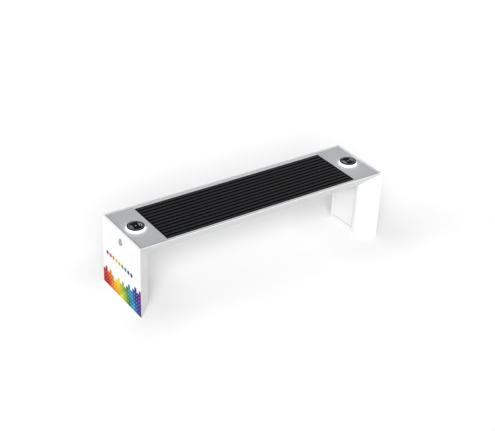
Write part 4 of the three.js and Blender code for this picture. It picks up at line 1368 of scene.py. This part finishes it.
@dataclass
class ChargingPuck(EndPart):
    """One charging disc over its glowing ring, with the parts that hold it."""

    body: CadPart = CadPart("puck_body", BLACK_PLASTIC, Rounding(0.0005, 1, 50.0))
    nut: CadPart = CadPart("puck_nut", BLACK_PLASTIC, Rounding(0.0008, 2, 50.0))
    cap_radius: float = 0.054
    cap_low: float = 0.4890
    cap_top: float = 0.4940
    cap_face: float = 0.4937
    cap_foot: Profile = ((-0.0008, 0.0), (-0.0002, 0.0002), (0.0, 0.0008))
    cap_shoulder: Profile = ((0.0, -0.0012), (-0.0003, -0.0005), (-0.0010, 0.0))
    rim: float = 0.0032
    rim_slope: float = 0.0005
    ring_bore: float = 0.046
    ring_foot: float = 0.0575
    ring_low: float = 0.4760
    ring_step: float = 0.4775
    ring_top: float = 0.4890
    ring_shoulder: float = 0.055
    ring_steps: int = 8
    print_top: float = 0.49385
    print_root: float = 0.0001
    arc_radii: tuple[float, ...] = (0.0095, 0.0200)
    arc_width: float = 0.0032
    arc_centre: float = 0.0145
    arc_span: tuple[float, float] = (-62.0, 62.0)
    dot_size: float = 0.008
    dot_corner: float = 0.0039
    border_radius: float = 0.0435
    border_width: float = 0.0013
    border_span: tuple[float, float] = (1.0, 359.0)
    border_steps: int = 72
    coil_turns: int = 11
    coil_bore_share: float = 0.45
    wire: Profile = ((0.06, 0.0006), (0.28, 0.0), (0.72, 0.0), (0.94, 0.0006))

    @property
    def centre(self) -> Point:
        """Middle of the disc on the ground plane."""
        low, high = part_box(self.end.named("puck_cap"))
        return ((low.x + high.x) / 2, 0.0, 0.0)

    def build(self) -> None:
        """Builds the puck."""
        self.stand_in("charging_disc", self._disc(), DISC_BLACK, "puck_cap")
        self.add(self.end.named("charging_print"), self._print(), DISC_PRINT)
        self.stand_in("light_ring", self._ring(), DIFFUSER, "puck_light_ring")
        self.refine(self.body.at(self.end))
        self.stand_in("charging_coil", self._coil(), COPPER, "puck_coil")
        self.refine(self.nut.at(self.end))

    def _disc(self) -> Shape:
        """Draws the disc with its raised rim.

        Returns:
            The shape.
        """
        radius, inside = self.cap_radius, self.cap_radius - self.rim
        profile = [
            (0.0, self.cap_low),
            *((radius + across, self.cap_low + up) for across, up in self.cap_foot),
            *((radius + across, self.cap_top + up) for across, up in self.cap_shoulder),
            (inside + self.rim_slope, self.cap_top),
            (inside, self.cap_face),
            (0.0, self.cap_face),
        ]
        return Shape().spun(profile, self.centre)

    def _ring(self) -> Shape:
        """Draws the diffuser ring with its flared foot.

        Returns:
            The shape.
        """
        width = self.ring_foot - self.ring_shoulder
        rise = self.ring_top - self.ring_step
        flare = []
        for step in range(self.ring_steps + 1):
            angle = math.pi / 2 * step / self.ring_steps
            up = self.ring_step + rise * (1 - math.cos(angle))
            flare.append((self.ring_foot - width * math.sin(angle), up))
        foot = [(self.ring_bore, self.ring_low), (self.ring_foot, self.ring_low)]
        return Shape().spun([*foot, *flare, (self.ring_bore, self.ring_top)], self.centre, ring=True)

    def _print(self) -> Shape:
        """Draws two sets of arcs that face each other, with a dot between them and a thin border.

        Returns:
            The shape.
        """
        shape = Shape()
        low, middle = self.cap_face - self.print_root, Matrix.Translation(self.centre)
        for facing in (0.0, math.pi):
            place = middle @ Matrix.Rotation(facing, 4, "Z") @ Matrix.Translation((self.arc_centre, 0.0, 0.0))
            for radius in self.arc_radii:
                outline = arc_outline(radius, radius + self.arc_width, self.arc_span)
                shape.slab(outline, low, self.print_top, place)
        shape.slab(rounded_outline(self.dot_size, self.dot_corner, 6), low, self.print_top, middle)
        inner, outer = self.border_radius, self.border_radius + self.border_width
        border = arc_outline(inner, outer, self.border_span, self.border_steps)
        shape.slab(border, low, self.print_top, middle)
        return shape

    def _coil(self) -> Shape:
        """Draws the flat coil's turns.

        Returns:
            The shape.
        """
        low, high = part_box(self.end.named("puck_coil"))
        outer = (high.x - low.x) / 2
        inner = outer * self.coil_bore_share
        pitch = (outer - inner) / self.coil_turns
        shape = Shape()
        for turn in range(self.coil_turns):
            start = inner + pitch * turn
            under = [(start + pitch * share, low.z + inset) for share, inset in self.wire]
            over = [(start + pitch * share, high.z - inset) for share, inset in reversed(self.wire)]
            shape.spun(under + over, self.centre, ring=True)
        return shape


@dataclass
class SocketPort(EndPart):
    """One charging socket in an end face, with its sprung cap."""

    cad_parts: tuple[CadPart, ...] = (
        CadPart("socket_shell", SATIN_STEEL, Rounding(0.0004, 2, 40.0, 0.0005)),
        CadPart("socket_insert", BLACK_PLASTIC, Rounding(0.0003, 1, 40.0, 0.001)),
        CadPart("socket_nut", ZINC, Rounding(0.0004, 2, 40.0, 0.0005)),
        CadPart("socket_cap", SATIN_STEEL, Rounding(0.0002, 1, 50.0, 0.0005), "flap"),
        CadPart("socket_cap_pin", SATIN_STEEL, Rounding(0.0002, 1, 50.0)),
    )
    height: float = 0.409
    port_offset: float = 0.005
    tongue_root: float = -0.8912
    tongue_tip: float = -0.8992
    tongue_half_width: float = 0.0046
    tongue_half_height: float = 0.0008
    contacts: int = 4
    contact_setback: float = 0.0008
    contact_half_width: float = 0.0006
    contact_root: float = 0.0001
    contact_height: float = 0.00015
    contact_edge: Rounding = Rounding(0.00005, 1)
    cap_ring: tuple[float, float] = (0.0108, 0.0128)
    cap_ring_span: tuple[float, float] = (-0.9060, -0.90735)
    cap_ring_chamfer: float = 0.0003
    lip_span: tuple[float, float] = (-0.9052, -0.9078)
    lip_half_width: float = 0.0045
    lip_heights: tuple[float, float] = (0.3925, 0.3945)

    def build(self) -> None:
        """Builds the socket."""
        self.refine_all()
        tongues, strips = Shape(), Shape()
        for z in (self.height - self.port_offset, self.height + self.port_offset):
            self._draw_port(z, tongues, strips)
        self.carry("port_tongues", tongues, BLACK_PLASTIC)
        self.carry("port_contacts", strips, CONTACT_BRASS)
        self.carry("cap_relief", self._cap_relief(), SATIN_STEEL, self.end.named("flap"))

    def _draw_port(self, z: float, tongues: Shape, strips: Shape) -> None:
        """Draws the tongue inside one port and the contact strips on it.

        Args:
            z: Height of the port's middle.
            tongues: Shape that takes the tongue.
            strips: Shape that takes the contact strips.
        """
        half, top = self.tongue_half_width, z + self.tongue_half_height
        low = (self.tongue_tip, -half, z - self.tongue_half_height)
        tongues.box(low, (self.tongue_root, half, top), THIN_EDGE)
        tip, side = self.tongue_tip + self.contact_setback, self.contact_half_width
        for y in row_of(self.contacts, 2 * half / self.contacts):
            low = (tip, y - side, top - self.contact_root)
            strips.box(low, (self.tongue_root, y + side, top + self.contact_height), self.contact_edge)

    def _cap_relief(self) -> Shape:
        """Draws the turned ring and the finger lip on the cap.

        Returns:
            The shape.
        """
        inner, outer = self.cap_ring
        root, top = self.cap_ring_span
        chamfer = self.cap_ring_chamfer
        profile = [(inner, root), (outer, root), (outer - chamfer, top + chamfer), (inner + chamfer, top)]
        shape = Shape().spun(profile, (0.0, 0.0, self.height), Axis.X, ring=True)
        low = (self.lip_span[1], -self.lip_half_width, self.lip_heights[0])
        return shape.box(low, (self.lip_span[0], self.lip_half_width, self.lip_heights[1]), RIB_EDGE)


@dataclass
class ServiceDoor(EndPart):
    """One drop-down door with its hinge, seal and quarter-turn lock."""

    cad_parts: tuple[CadPart, ...] = (
        CadPart("door_panel", WHITE_COAT, Rounding(0.0009, 2, 40.0, 0.004), "door"),
        CadPart("door_hinge_bracket", ZINC, Rounding(0.0005, 2, 50.0, 0.004)),
        CadPart("door_hinge_rod", SATIN_STEEL, Rounding(0.0005, 2, 50.0)),
        CadPart("door_seal", FOAM, Rounding(0.0006, 2, 50.0, 0.003)),
        CadPart("door_lock_barrel", SATIN_STEEL, Rounding(0.0004, 2, 50.0), "door"),
        CadPart("door_lock_plug", ZINC, Rounding(0.0003, 1, 50.0, 0.001), "lock"),
    )
    slot_span: tuple[float, float] = (-0.7928, -0.79225)
    slot_half_width: float = 0.0011
    slot_half_height: float = 0.0040
    rivet_x: float = -0.800
    rivet_z: float = 0.018
    rivet_count: int = 3
    rivet_pitch: float = 0.03
    rivet_radius: float = 0.0035
    rivet_height: float = 0.0012
    rivet_root: float = 0.0002
    rivet_sides: int = 24
    rivet_dome: Profile = ((0.8, 0.7), (0.4, 1.0), (0.0, 1.0))

    def build(self) -> None:
        """Builds the door."""
        self.refine_all()
        lowest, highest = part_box(self.end.named("door_lock_barrel"))
        middle = (lowest.z + highest.z) / 2
        low = (self.slot_span[0], -self.slot_half_width, middle - self.slot_half_height)
        high = (self.slot_span[1], self.slot_half_width, middle + self.slot_half_height)
        slot = Shape().box(low, high, THIN_EDGE)
        self.carry("lock_key_slot", slot, BLACK_PLASTIC, self.end.named("lock"))
        rivets = Shape()
        radius = self.rivet_radius
        dome = [(radius * across, -self.rivet_height * up) for across, up in self.rivet_dome]
        for y in row_of(self.rivet_count, self.rivet_pitch):
            profile = [(radius, self.rivet_root), (radius, 0.0), *dome]
            rivets.spun(profile, (self.rivet_x, y, self.rivet_z), Axis.X, self.rivet_sides)
        self.carry("hinge_rivets", rivets, SATIN_STEEL)


@dataclass
class BatteryBay(SubAssembly):
    """The battery with its tray and strap in the left leg."""

    cad_parts: tuple[CadPart, ...] = (
        CadPart("battery", BATTERY_BLUE, Rounding(0.0012, 3, 40.0, 0.004)),
        CadPart("battery_tray", ZINC, Rounding(0.0006, 2, 40.0, 0.004)),
        CadPart("battery_strap", WEBBING, Rounding(0.0004, 2, 40.0, 0.004)),
    )
    face_x: float = -0.825
    rib_rows: tuple[float, ...] = (0.056, 0.068, 0.080, 0.092, 0.104)
    rib_half_length: float = 0.074
    rib_width: float = 0.004
    rib_height: float = 0.0012
    rib_root: float = 0.0005
    lid_z: float = 0.160
    lid_width: float = 0.0015
    lid_height: float = 0.0008
    post_x: float = -0.882
    post_y: float = 0.066
    post_z: float = 0.174
    collar_bore: float = 0.0063
    collar_radius: float = 0.009
    collar_height: float = 0.003
    collar_root: float = -0.0005
    collar_wall: float = 0.7
    collar_chamfer: float = 0.001
    collar_sides: int = 32
    label_low: tuple[float, float] = (-0.062, 0.114)
    label_high: tuple[float, float] = (0.062, 0.150)
    label_half: float = 0.0003
    bar_shares: tuple[float, ...] = (0.9, 0.6, 0.75)
    bar_pitch: float = 0.009
    bar_margin: float = 0.008
    bar_width: float = 0.003
    bar_span: tuple[float, float] = (0.0002, 0.0005)

    def build(self) -> None:
        """Builds the bay."""
        self.refine_all()
        self._ribs()
        self._label()
        self.add("battery_collar_plus", self._collar(self.post_y), TERMINAL_RED)
        self.add("battery_collar_minus", self._collar(-self.post_y), BLACK_PLASTIC)

    def _ribs(self) -> None:
        """Builds the ribs and the lid line on the case."""
        shape = Shape()
        root, half = self.face_x - self.rib_root, self.rib_half_length
        for z in self.rib_rows:
            shape.box((root, -half, z), (self.face_x + self.rib_height, half, z + self.rib_width), RIB_EDGE)
        lid_top = (self.face_x + self.lid_height, half, self.lid_z + self.lid_width)
        shape.box((root, -half, self.lid_z), lid_top, FINE_EDGE)
        self.add("battery_case_ribs", shape, BATTERY_BLUE)

    def _label(self) -> None:
        """Builds the blank label and the plain bars on it."""
        (left, low_z), (right, high_z) = self.label_low, self.label_high
        back, front = self.face_x - self.label_half, self.face_x + self.label_half
        label = Shape().box((back, left, low_z), (front, right, high_z), PRINT_EDGE)
        self.add("battery_label", label, LABEL_PALE)
        bars = Shape()
        root, top = (self.face_x + depth for depth in self.bar_span)
        for row, share in enumerate(self.bar_shares, start=1):
            z = high_z - self.bar_pitch * row
            start = left + self.bar_margin
            end = start + (right - left - 2 * self.bar_margin) * share
            bars.box((root, start, z), (top, end, z + self.bar_width), PRINT_EDGE)
        self.add("battery_label_bars", bars, DISC_PRINT)

    def _collar(self, y: float) -> Shape:
        """Draws the coloured collar of one terminal.

        Args:
            y: Where the terminal stands.

        Returns:
            The shape.
        """
        bore, radius, height = self.collar_bore, self.collar_radius, self.collar_height
        foot = [(bore, self.collar_root), (radius, self.collar_root), (radius, height * self.collar_wall)]
        profile = [*foot, (radius - self.collar_chamfer, height), (bore, height)]
        centre = (self.post_x, y, self.post_z)
        return Shape().spun(profile, centre, segments=self.collar_sides, ring=True)


@dataclass
class ControlBay(SubAssembly):
    """Mounting plate, charge controller, power module and breaker in the right leg."""

    cad_parts: tuple[CadPart, ...] = (
        CadPart("mount_plate", ZINC, Rounding(0.0005, 2, 40.0, 0.004)),
        CadPart("charge_controller", CONTROLLER_GREY, Rounding(0.0012, 3, 40.0, 0.004)),
        CadPart("power_module", MODULE_GREY, Rounding(0.001, 2, 40.0, 0.004)),
        CadPart("breaker_body", BREAKER_WHITE, Rounding(0.0006, 2, 40.0, 0.003)),
        CadPart("breaker_lever", LEVER_BLUE, Rounding(0.0005, 2, 40.0, 0.002), "lever"),
    )
    terminal_edge: Rounding = Rounding(0.0008)
    controller_face: float = 0.849
    terminal_half: float = 0.060
    terminal_depths: tuple[float, float] = (0.003, 0.0005)
    terminal_span: tuple[float, float] = (0.005, 0.021)
    terminal_count: int = 6
    terminal_pitch: float = 0.020
    screw_rise: float = 0.013
    screw_depth: float = 0.0025
    screw_radius: float = 0.0038
    screw_height: float = 0.0012
    screw_sides: int = 24
    light_rise: float = 0.086
    light_count: int = 3
    light_pitch: float = 0.012
    light_sides: int = 20
    light_dome: Profile = ((0.002, 0.0004), (0.002, -0.0006), (0.0014, -0.0014), (0.0, -0.0018))
    plate_half: float = 0.045
    plate_depth: float = 0.0003
    plate_span: tuple[float, float] = (0.038, 0.072)
    module_face: float = 0.861
    fin_height: float = 0.0022
    fin_root: float = 0.0005
    fin_half: float = 0.0012
    fin_margin: float = 0.003
    fin_pitch: float = 0.008
    breaker_face: float = 0.8295
    clamp_radius: float = 0.003
    clamp_margin: float = 0.006
    clamp_root: float = 0.0004

    def build(self) -> None:
        """Builds the bay."""
        self.refine_all()
        self._controller_fittings()
        self._fins()
        self._breaker_screws()

    def _front(self, half: float, depths: Sequence[float], rises: Sequence[float], edge: Rounding) -> Shape:
        """Draws a block on the controller's face.

        Args:
            half: Its half width.
            depths: How far it stands out of the face, and how deep it is sunk into it.
            rises: Its underside and top above the controller's foot.
            edge: How its edges are rounded.

        Returns:
            The shape.
        """
        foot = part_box("charge_controller")[0].z
        low = (self.controller_face - depths[0], -half, foot + rises[0])
        return Shape().box(low, (self.controller_face + depths[1], half, foot + rises[1]), edge)

    def _controller_fittings(self) -> None:
        """Builds the controller's terminal block, its screws, the status lights and the blank plate."""
        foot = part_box("charge_controller")[0].z
        block = self._front(self.terminal_half, self.terminal_depths, self.terminal_span, self.terminal_edge)
        self.add("controller_terminals", block, BLACK_PLASTIC)
        screws, lights = Shape(), Shape()
        for y in row_of(self.terminal_count, self.terminal_pitch):
            start = (self.controller_face - self.screw_depth, y, foot + self.screw_rise)
            screws.rod(start, self.screw_radius, -self.screw_height, Axis.X, FINE_EDGE, self.screw_sides)
        self.add("controller_screws", screws, CONTACT_BRASS)
        for y in row_of(self.light_count, self.light_pitch):
            centre = (self.controller_face, y, foot + self.light_rise)
            lights.spun(self.light_dome, centre, Axis.X, self.light_sides)
        self.add("controller_lights", lights, LIGHT_GREEN)
        plate = self._front(self.plate_half, (self.plate_depth,) * 2, self.plate_span, PRINT_EDGE)
        self.add("controller_plate", plate, LABEL_PALE)

    def _fins(self) -> None:
        """Builds the cooling fins of the power module."""
        shape = Shape()
        low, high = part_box("power_module")
        front, root = self.module_face - self.fin_height, self.module_face + self.fin_root
        count = int((high.y - low.y) / self.fin_pitch) - 1
        for y in row_of(count, self.fin_pitch, (low.y + high.y) / 2):
            start = (front, y - self.fin_half, low.z + self.fin_margin)
            shape.box(start, (root, y + self.fin_half, high.z - self.fin_margin), RIB_EDGE)
        self.add("module_fins", shape, MODULE_GREY)

    def _breaker_screws(self) -> None:
        """Builds the clamp screws of the breaker."""
        shape = Shape()
        low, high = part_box("breaker_body")
        for y in (low.y / 2, high.y / 2):
            for z in (low.z + self.clamp_margin, high.z - self.clamp_margin):
                start = (self.breaker_face + self.clamp_root, y, z)
                shape.rod(start, self.clamp_radius, -self.screw_height, Axis.X, FINE_EDGE, self.screw_sides)
        self.add("breaker_screws", shape, SATIN_STEEL)


@dataclass
class Wiring(SubAssembly):
    """The cables that run through the seat and the legs."""

    edges: Rounding = Rounding(0.0004, 1, 50.0, 0.0003)

    def build(self) -> None:
        """Builds the cables."""
        for node in ("battery_cable", "solar_cable", "device_lead_left", "device_lead_right"):
            self.refine(CadPart(node, JACKET, self.edges))


@dataclass
class EndArtwork(SubAssembly):
    """A skyline of small rounded tiles in rainbow order at the foot of the left end, and a row of dots."""

    face_x: float = -0.900
    proud: float = 0.00025
    root: float = -0.0001
    pitch: float = 0.026
    tile: float = 0.0256
    corner: float = 0.004
    corner_steps: int = 3
    foot: float = 0.006
    heights: tuple[int, ...] = (4, 5, 4, 5, 4, 3, 4, 5, 4, 5, 4, 5, 6, 5, 6, 7, 6, 7)
    slant: float = 0.35
    dots: int = 9
    dot_size: float = 0.028
    dot_corner: float = 0.498
    dot_steps: int = 8
    dot_pitch: float = 0.037
    dot_middle: tuple[float, float] = (0.025, 0.245)
    rainbow: tuple[Colour, ...] = (
        (0.29, 0.004, 0.006),
        (0.40, 0.008, 0.018),
        (0.60, 0.120, 0.008),
        (0.64, 0.330, 0.008),
        (0.58, 0.500, 0.018),
        (0.27, 0.370, 0.018),
        (0.020, 0.16, 0.060),
        (0.018, 0.23, 0.42),
        (0.008, 0.045, 0.21),
        (0.085, 0.010, 0.18),
        (0.33, 0.008, 0.17),
    )
    shades: tuple[float, ...] = (1.0, 0.82, 1.12, 0.92, 1.2)

    def build(self) -> None:
        """Builds the tiles and the dots as one piece."""
        shape = Shape()
        ink = shape.mesh.loops.layers.float_color.new("ink")
        place = Matrix(((0, 0, -1, self.face_x), (1, 0, 0, 0), (0, 1, 0, 0), (0, 0, 0, 1)))
        for outline, colour in [*self._tiles(), *self._dots()]:
            for face in shape.slab(outline, self.root, self.proud, place):
                for loop in face.loops:
                    loop[ink] = opaque(colour)
        self.add("end_tiles", shape, TILE_INK)

    def _tiles(self) -> list[tuple[Profile, Colour]]:
        """Lays out the tiles, column by column from the rear.

        Returns:
            Each tile's outline and colour.
        """
        tiles = []
        first = (len(self.heights) - 1) / 2 * self.pitch
        for column, height in enumerate(self.heights):
            for row in range(height):
                middle = (first - column * self.pitch, self.foot + (row + 0.5) * self.pitch)
                outline = rounded_outline(self.tile, self.corner, self.corner_steps, middle)
                shade = self.shades[(3 * column + 2 * row) % len(self.shades)]
                share = (column + self.slant * row) / (len(self.heights) + 2)
                tiles.append((outline, self._ramp(share, shade)))
        return tiles

    def _dots(self) -> list[tuple[Profile, Colour]]:
        """Lays out the dots.

        Returns:
            Each dot's outline and colour.
        """
        dots = []
        corner = self.dot_size * self.dot_corner
        for dot, offset in enumerate(reversed(row_of(self.dots, self.dot_pitch))):
            middle = (self.dot_middle[0] + offset, self.dot_middle[1])
            outline = rounded_outline(self.dot_size, corner, self.dot_steps, middle)
            dots.append((outline, self._ramp(dot / self.dots, 1.0)))
        return dots

    def _ramp(self, share: float, shade: float) -> Colour:
        """Picks a colour of the rainbow.

        Args:
            share: How far along it lies, from 0 to 1.
            shade: Factor of its brightness.

        Returns:
            The colour.
        """
        along = share * (len(self.rainbow) - 1)
        first = min(int(along), len(self.rainbow) - 2)
        pairs = zip(self.rainbow[first], self.rainbow[first + 1])
        return tuple(min(1.0, shade * (low + (high - low) * (along - first))) for low, high in pairs)


# ---------------------------------------------------------------- studio


@dataclass(frozen=True)
class Lamp:
    """One soft distant lamp: where it shines from, its strength and its spread in degrees."""

    name: str
    origin: Point
    strength: float
    spread: float
    distance: float = 4.0

    def build(self) -> None:
        """Builds the lamp."""
        light = bpy.data.lights.new(self.name, "SUN")
        light.energy = self.strength
        light.angle = math.radians(self.spread)
        made = linked(self.name, light)
        made.rotation_euler = (-Vector(self.origin)).to_track_quat("-Z", "Y").to_euler()
        made.location = Vector(self.origin) * self.distance


@dataclass
class Studio:
    """The pale floor, the soft light and the camera."""

    floor_half: float = 30.0
    floor_squares: int = 8
    floor_roughness: float = 0.9
    floor_albedo: float = 0.91
    bounce_albedo: float = 0.55
    mottle_scale: float = 3.0
    mottle_span: tuple[float, float] = (0.997, 1.0)
    # Painted shadow: around each foot the floor's colour is darkened to this tone, fading out over
    # foot_reach.
    foot_shadow_tone: float = 0.90
    foot_middle: tuple[float, float] = (0.87, 0.0)
    foot_half: tuple[float, float] = (0.053, 0.234)
    foot_reach: tuple[float, float] = (0.0, 0.42)
    # Painted glow: away from the bench, the floor seen by camera and glossy rays gets this much emission,
    # which lifts it to white.
    far_lift: float = 0.04
    far_middle: tuple[float, float] = (0.25, 0.42)
    far_half: tuple[float, float] = (1.0, 0.62)
    far_reach: tuple[float, float] = (0.0, 0.45)
    sky: float = 0.55
    location: Point = (-3.52630, -5.03455, 4.00183)
    yaw: float = -35.0488
    pitch: float = -30.9333
    roll: float = 2.1721
    focal_pixels: float = 1132.155
    image_width: int = 495
    film: float = 36.0
    sight: float = 200.0
    lamps: tuple[Lamp, ...] = (
        Lamp("front_light", (-0.493, -0.702, 0.514), 0.917 * math.pi, 35.0),
        Lamp("side_light", (-0.907, 0.366, 0.208), 0.30 * math.pi, 40.0),
        Lamp("fill_light", (0.69, -0.69, 0.2), 0.11 * math.pi, 60.0),
    )

    def build(self) -> None:
        """Builds the studio."""
        self._floor()
        self._world()
        for lamp in self.lamps:
            lamp.build()
        self._camera()

    @staticmethod
    def _seen(tree: ShaderTree) -> Socket:
        """Finds the rays that show a surface, rather than light another one.

        Args:
            tree: Helper of the material's tree.

        Returns:
            1 for such rays, else 0.
        """
        rays = tree.add("ShaderNodeLightPath").outputs
        shiny = tree.maths("MAXIMUM", rays["Is Glossy Ray"], rays["Is Transmission Ray"])
        return tree.maths("MAXIMUM", rays["Is Camera Ray"], shiny)

    def _floor(self) -> None:
        """Builds the floor, which keeps the shadow of the bench."""
        mesh = bmesh.new()
        squares = self.floor_squares
        bmesh.ops.create_grid(mesh, x_segments=squares, y_segments=squares, size=self.floor_half)
        data = bpy.data.meshes.new("studio_floor")
        mesh.to_mesh(data)
        mesh.free()
        floor = linked("studio_floor", data)
        material = bpy.data.materials.new("studio_floor")
        material.use_nodes = True
        tree = ShaderTree(material.node_tree)
        tree.fill(material.node_tree.nodes["Principled BSDF"], self._floor_sockets(tree))
        data.materials.append(material)

    def _floor_sockets(self, tree: ShaderTree) -> dict[str, object]:
        """Mixes the floor's paper, with a painted shadow that darkens it around the feet and a painted glow
        that lifts it to white far off.

        Args:
            tree: Helper of the material's tree.

        Returns:
            Shader input to its value, or to the output that feeds it.
        """
        place = tree.add("ShaderNodeTexCoord").outputs["Object"]
        mottle = tree.spread(tree.noise(place, self.mottle_scale, 2.0), PATTERN_SPAN, self.mottle_span)
        parts = tree.parts(place)
        mirrored = (tree.maths("ABSOLUTE", parts["X"]), parts["Y"])
        near_feet = self._gap(tree, mirrored, self.foot_middle, self.foot_half)
        far_off = self._gap(tree, (parts["X"], parts["Y"]), self.far_middle, self.far_half)
        # Painted shadow: the paper is darkened around both feet.
        painted_foot_shadow = tree.spread(near_feet, self.foot_reach, (self.foot_shadow_tone, 1.0))
        seen = self._seen(tree)
        paper = tree.toned(opaque((self.floor_albedo,) * 3), tree.maths("MULTIPLY", mottle, painted_foot_shadow))
        # Painted glow that lifts the floor to white away from the bench.
        lift = tree.spread(far_off, self.far_reach, (0.0, self.far_lift))
        return {
            "Base Color": tree.blend(seen, opaque((self.bounce_albedo,) * 3), paper),
            "Roughness": self.floor_roughness,
            "Specular IOR Level": 0.0,
            "Emission Color": opaque(WHITE),
            "Emission Strength": tree.maths("MULTIPLY", seen, lift),
        }

    @staticmethod
    def _gap(
        tree: ShaderTree, parts: Sequence[Socket], middle: Sequence[float], half: Sequence[float]
    ) -> Socket:
        """Finds how far a place on the floor lies from a rectangle.

        Args:
            tree: Helper of the material's tree.
            parts: The place's two coordinates.
            middle: Middle of the rectangle.
            half: Its half length and half depth.

        Returns:
            The distance.
        """
        squares = []
        for part, centre, side in zip(parts, middle, half):
            offset = tree.maths("ABSOLUTE", tree.maths("SUBTRACT", part, centre))
            beyond = tree.maths("MAXIMUM", tree.maths("SUBTRACT", offset, side))
            squares.append(tree.maths("MULTIPLY", beyond, beyond))
        return tree.maths("SQRT", tree.maths("ADD", *squares))

    def _world(self) -> None:
        """Lights the scene from all around, and shows white where nothing is hit."""
        world = bpy.data.worlds.new("studio_sky")
        world.use_nodes = True
        tree = ShaderTree(world.node_tree)
        lift = tree.maths("MULTIPLY", self._seen(tree), 1.0 - self.sky)
        values = {"Color": opaque(WHITE), "Strength": tree.maths("ADD", lift, self.sky)}
        tree.fill(world.node_tree.nodes["Background"], values)
        bpy.context.scene.world = world

    def _camera(self) -> None:
        """Places the camera where the photograph was taken from."""
        yaw, pitch, roll = (math.radians(angle) for angle in (self.yaw, self.pitch, self.roll))
        ahead = Vector((math.sin(-yaw) * math.cos(pitch), math.cos(-yaw) * math.cos(pitch), math.sin(pitch)))
        level = ahead.cross(Vector((0.0, 0.0, 1.0))).normalized()
        raised = level.cross(ahead)
        right = math.cos(roll) * level + math.sin(roll) * raised
        up = -math.sin(roll) * level + math.cos(roll) * raised
        place = Matrix((right, up, -ahead)).transposed().to_4x4()
        place.translation = Vector(self.location)
        camera = bpy.data.cameras.new("photo_camera")
        camera.sensor_fit = "HORIZONTAL"
        camera.sensor_width = self.film
        camera.lens = self.focal_pixels * self.film / self.image_width
        camera.clip_end = self.sight
        made = linked("photo_camera", camera)
        made.matrix_world = place
        bpy.context.scene.camera = made


def sub_assemblies() -> list[SubAssembly]:
    """Lists the bench's sub-assemblies in building order.

    Returns:
        The sub-assemblies.
    """
    ends = [kind(end=end) for end in End for kind in (ChargingPuck, SocketPort, ServiceDoor)]
    bays = [BatteryBay(), ControlBay()]
    return [CoatedShell(), SeatFrame(), SolarDeck(), *ends, *bays, Wiring(), EndArtwork()]


def main() -> None:
    """Builds, dresses and reports the whole bench."""
    logging.basicConfig(level=logging.INFO, format="%(name)s: %(message)s")
    bpy.context.scene.view_settings.view_transform = "Standard"
    shop = PaintShop(GroupShelf())
    for part in sub_assemblies():
        part.build()
        part.dress(shop)
        for made, finish in part.worn:
            LOG.info("%s: %s, %d faces", made.name, finish.name, len(made.data.polygons))
    Studio().build()


if __name__ == "__main__":
    main()
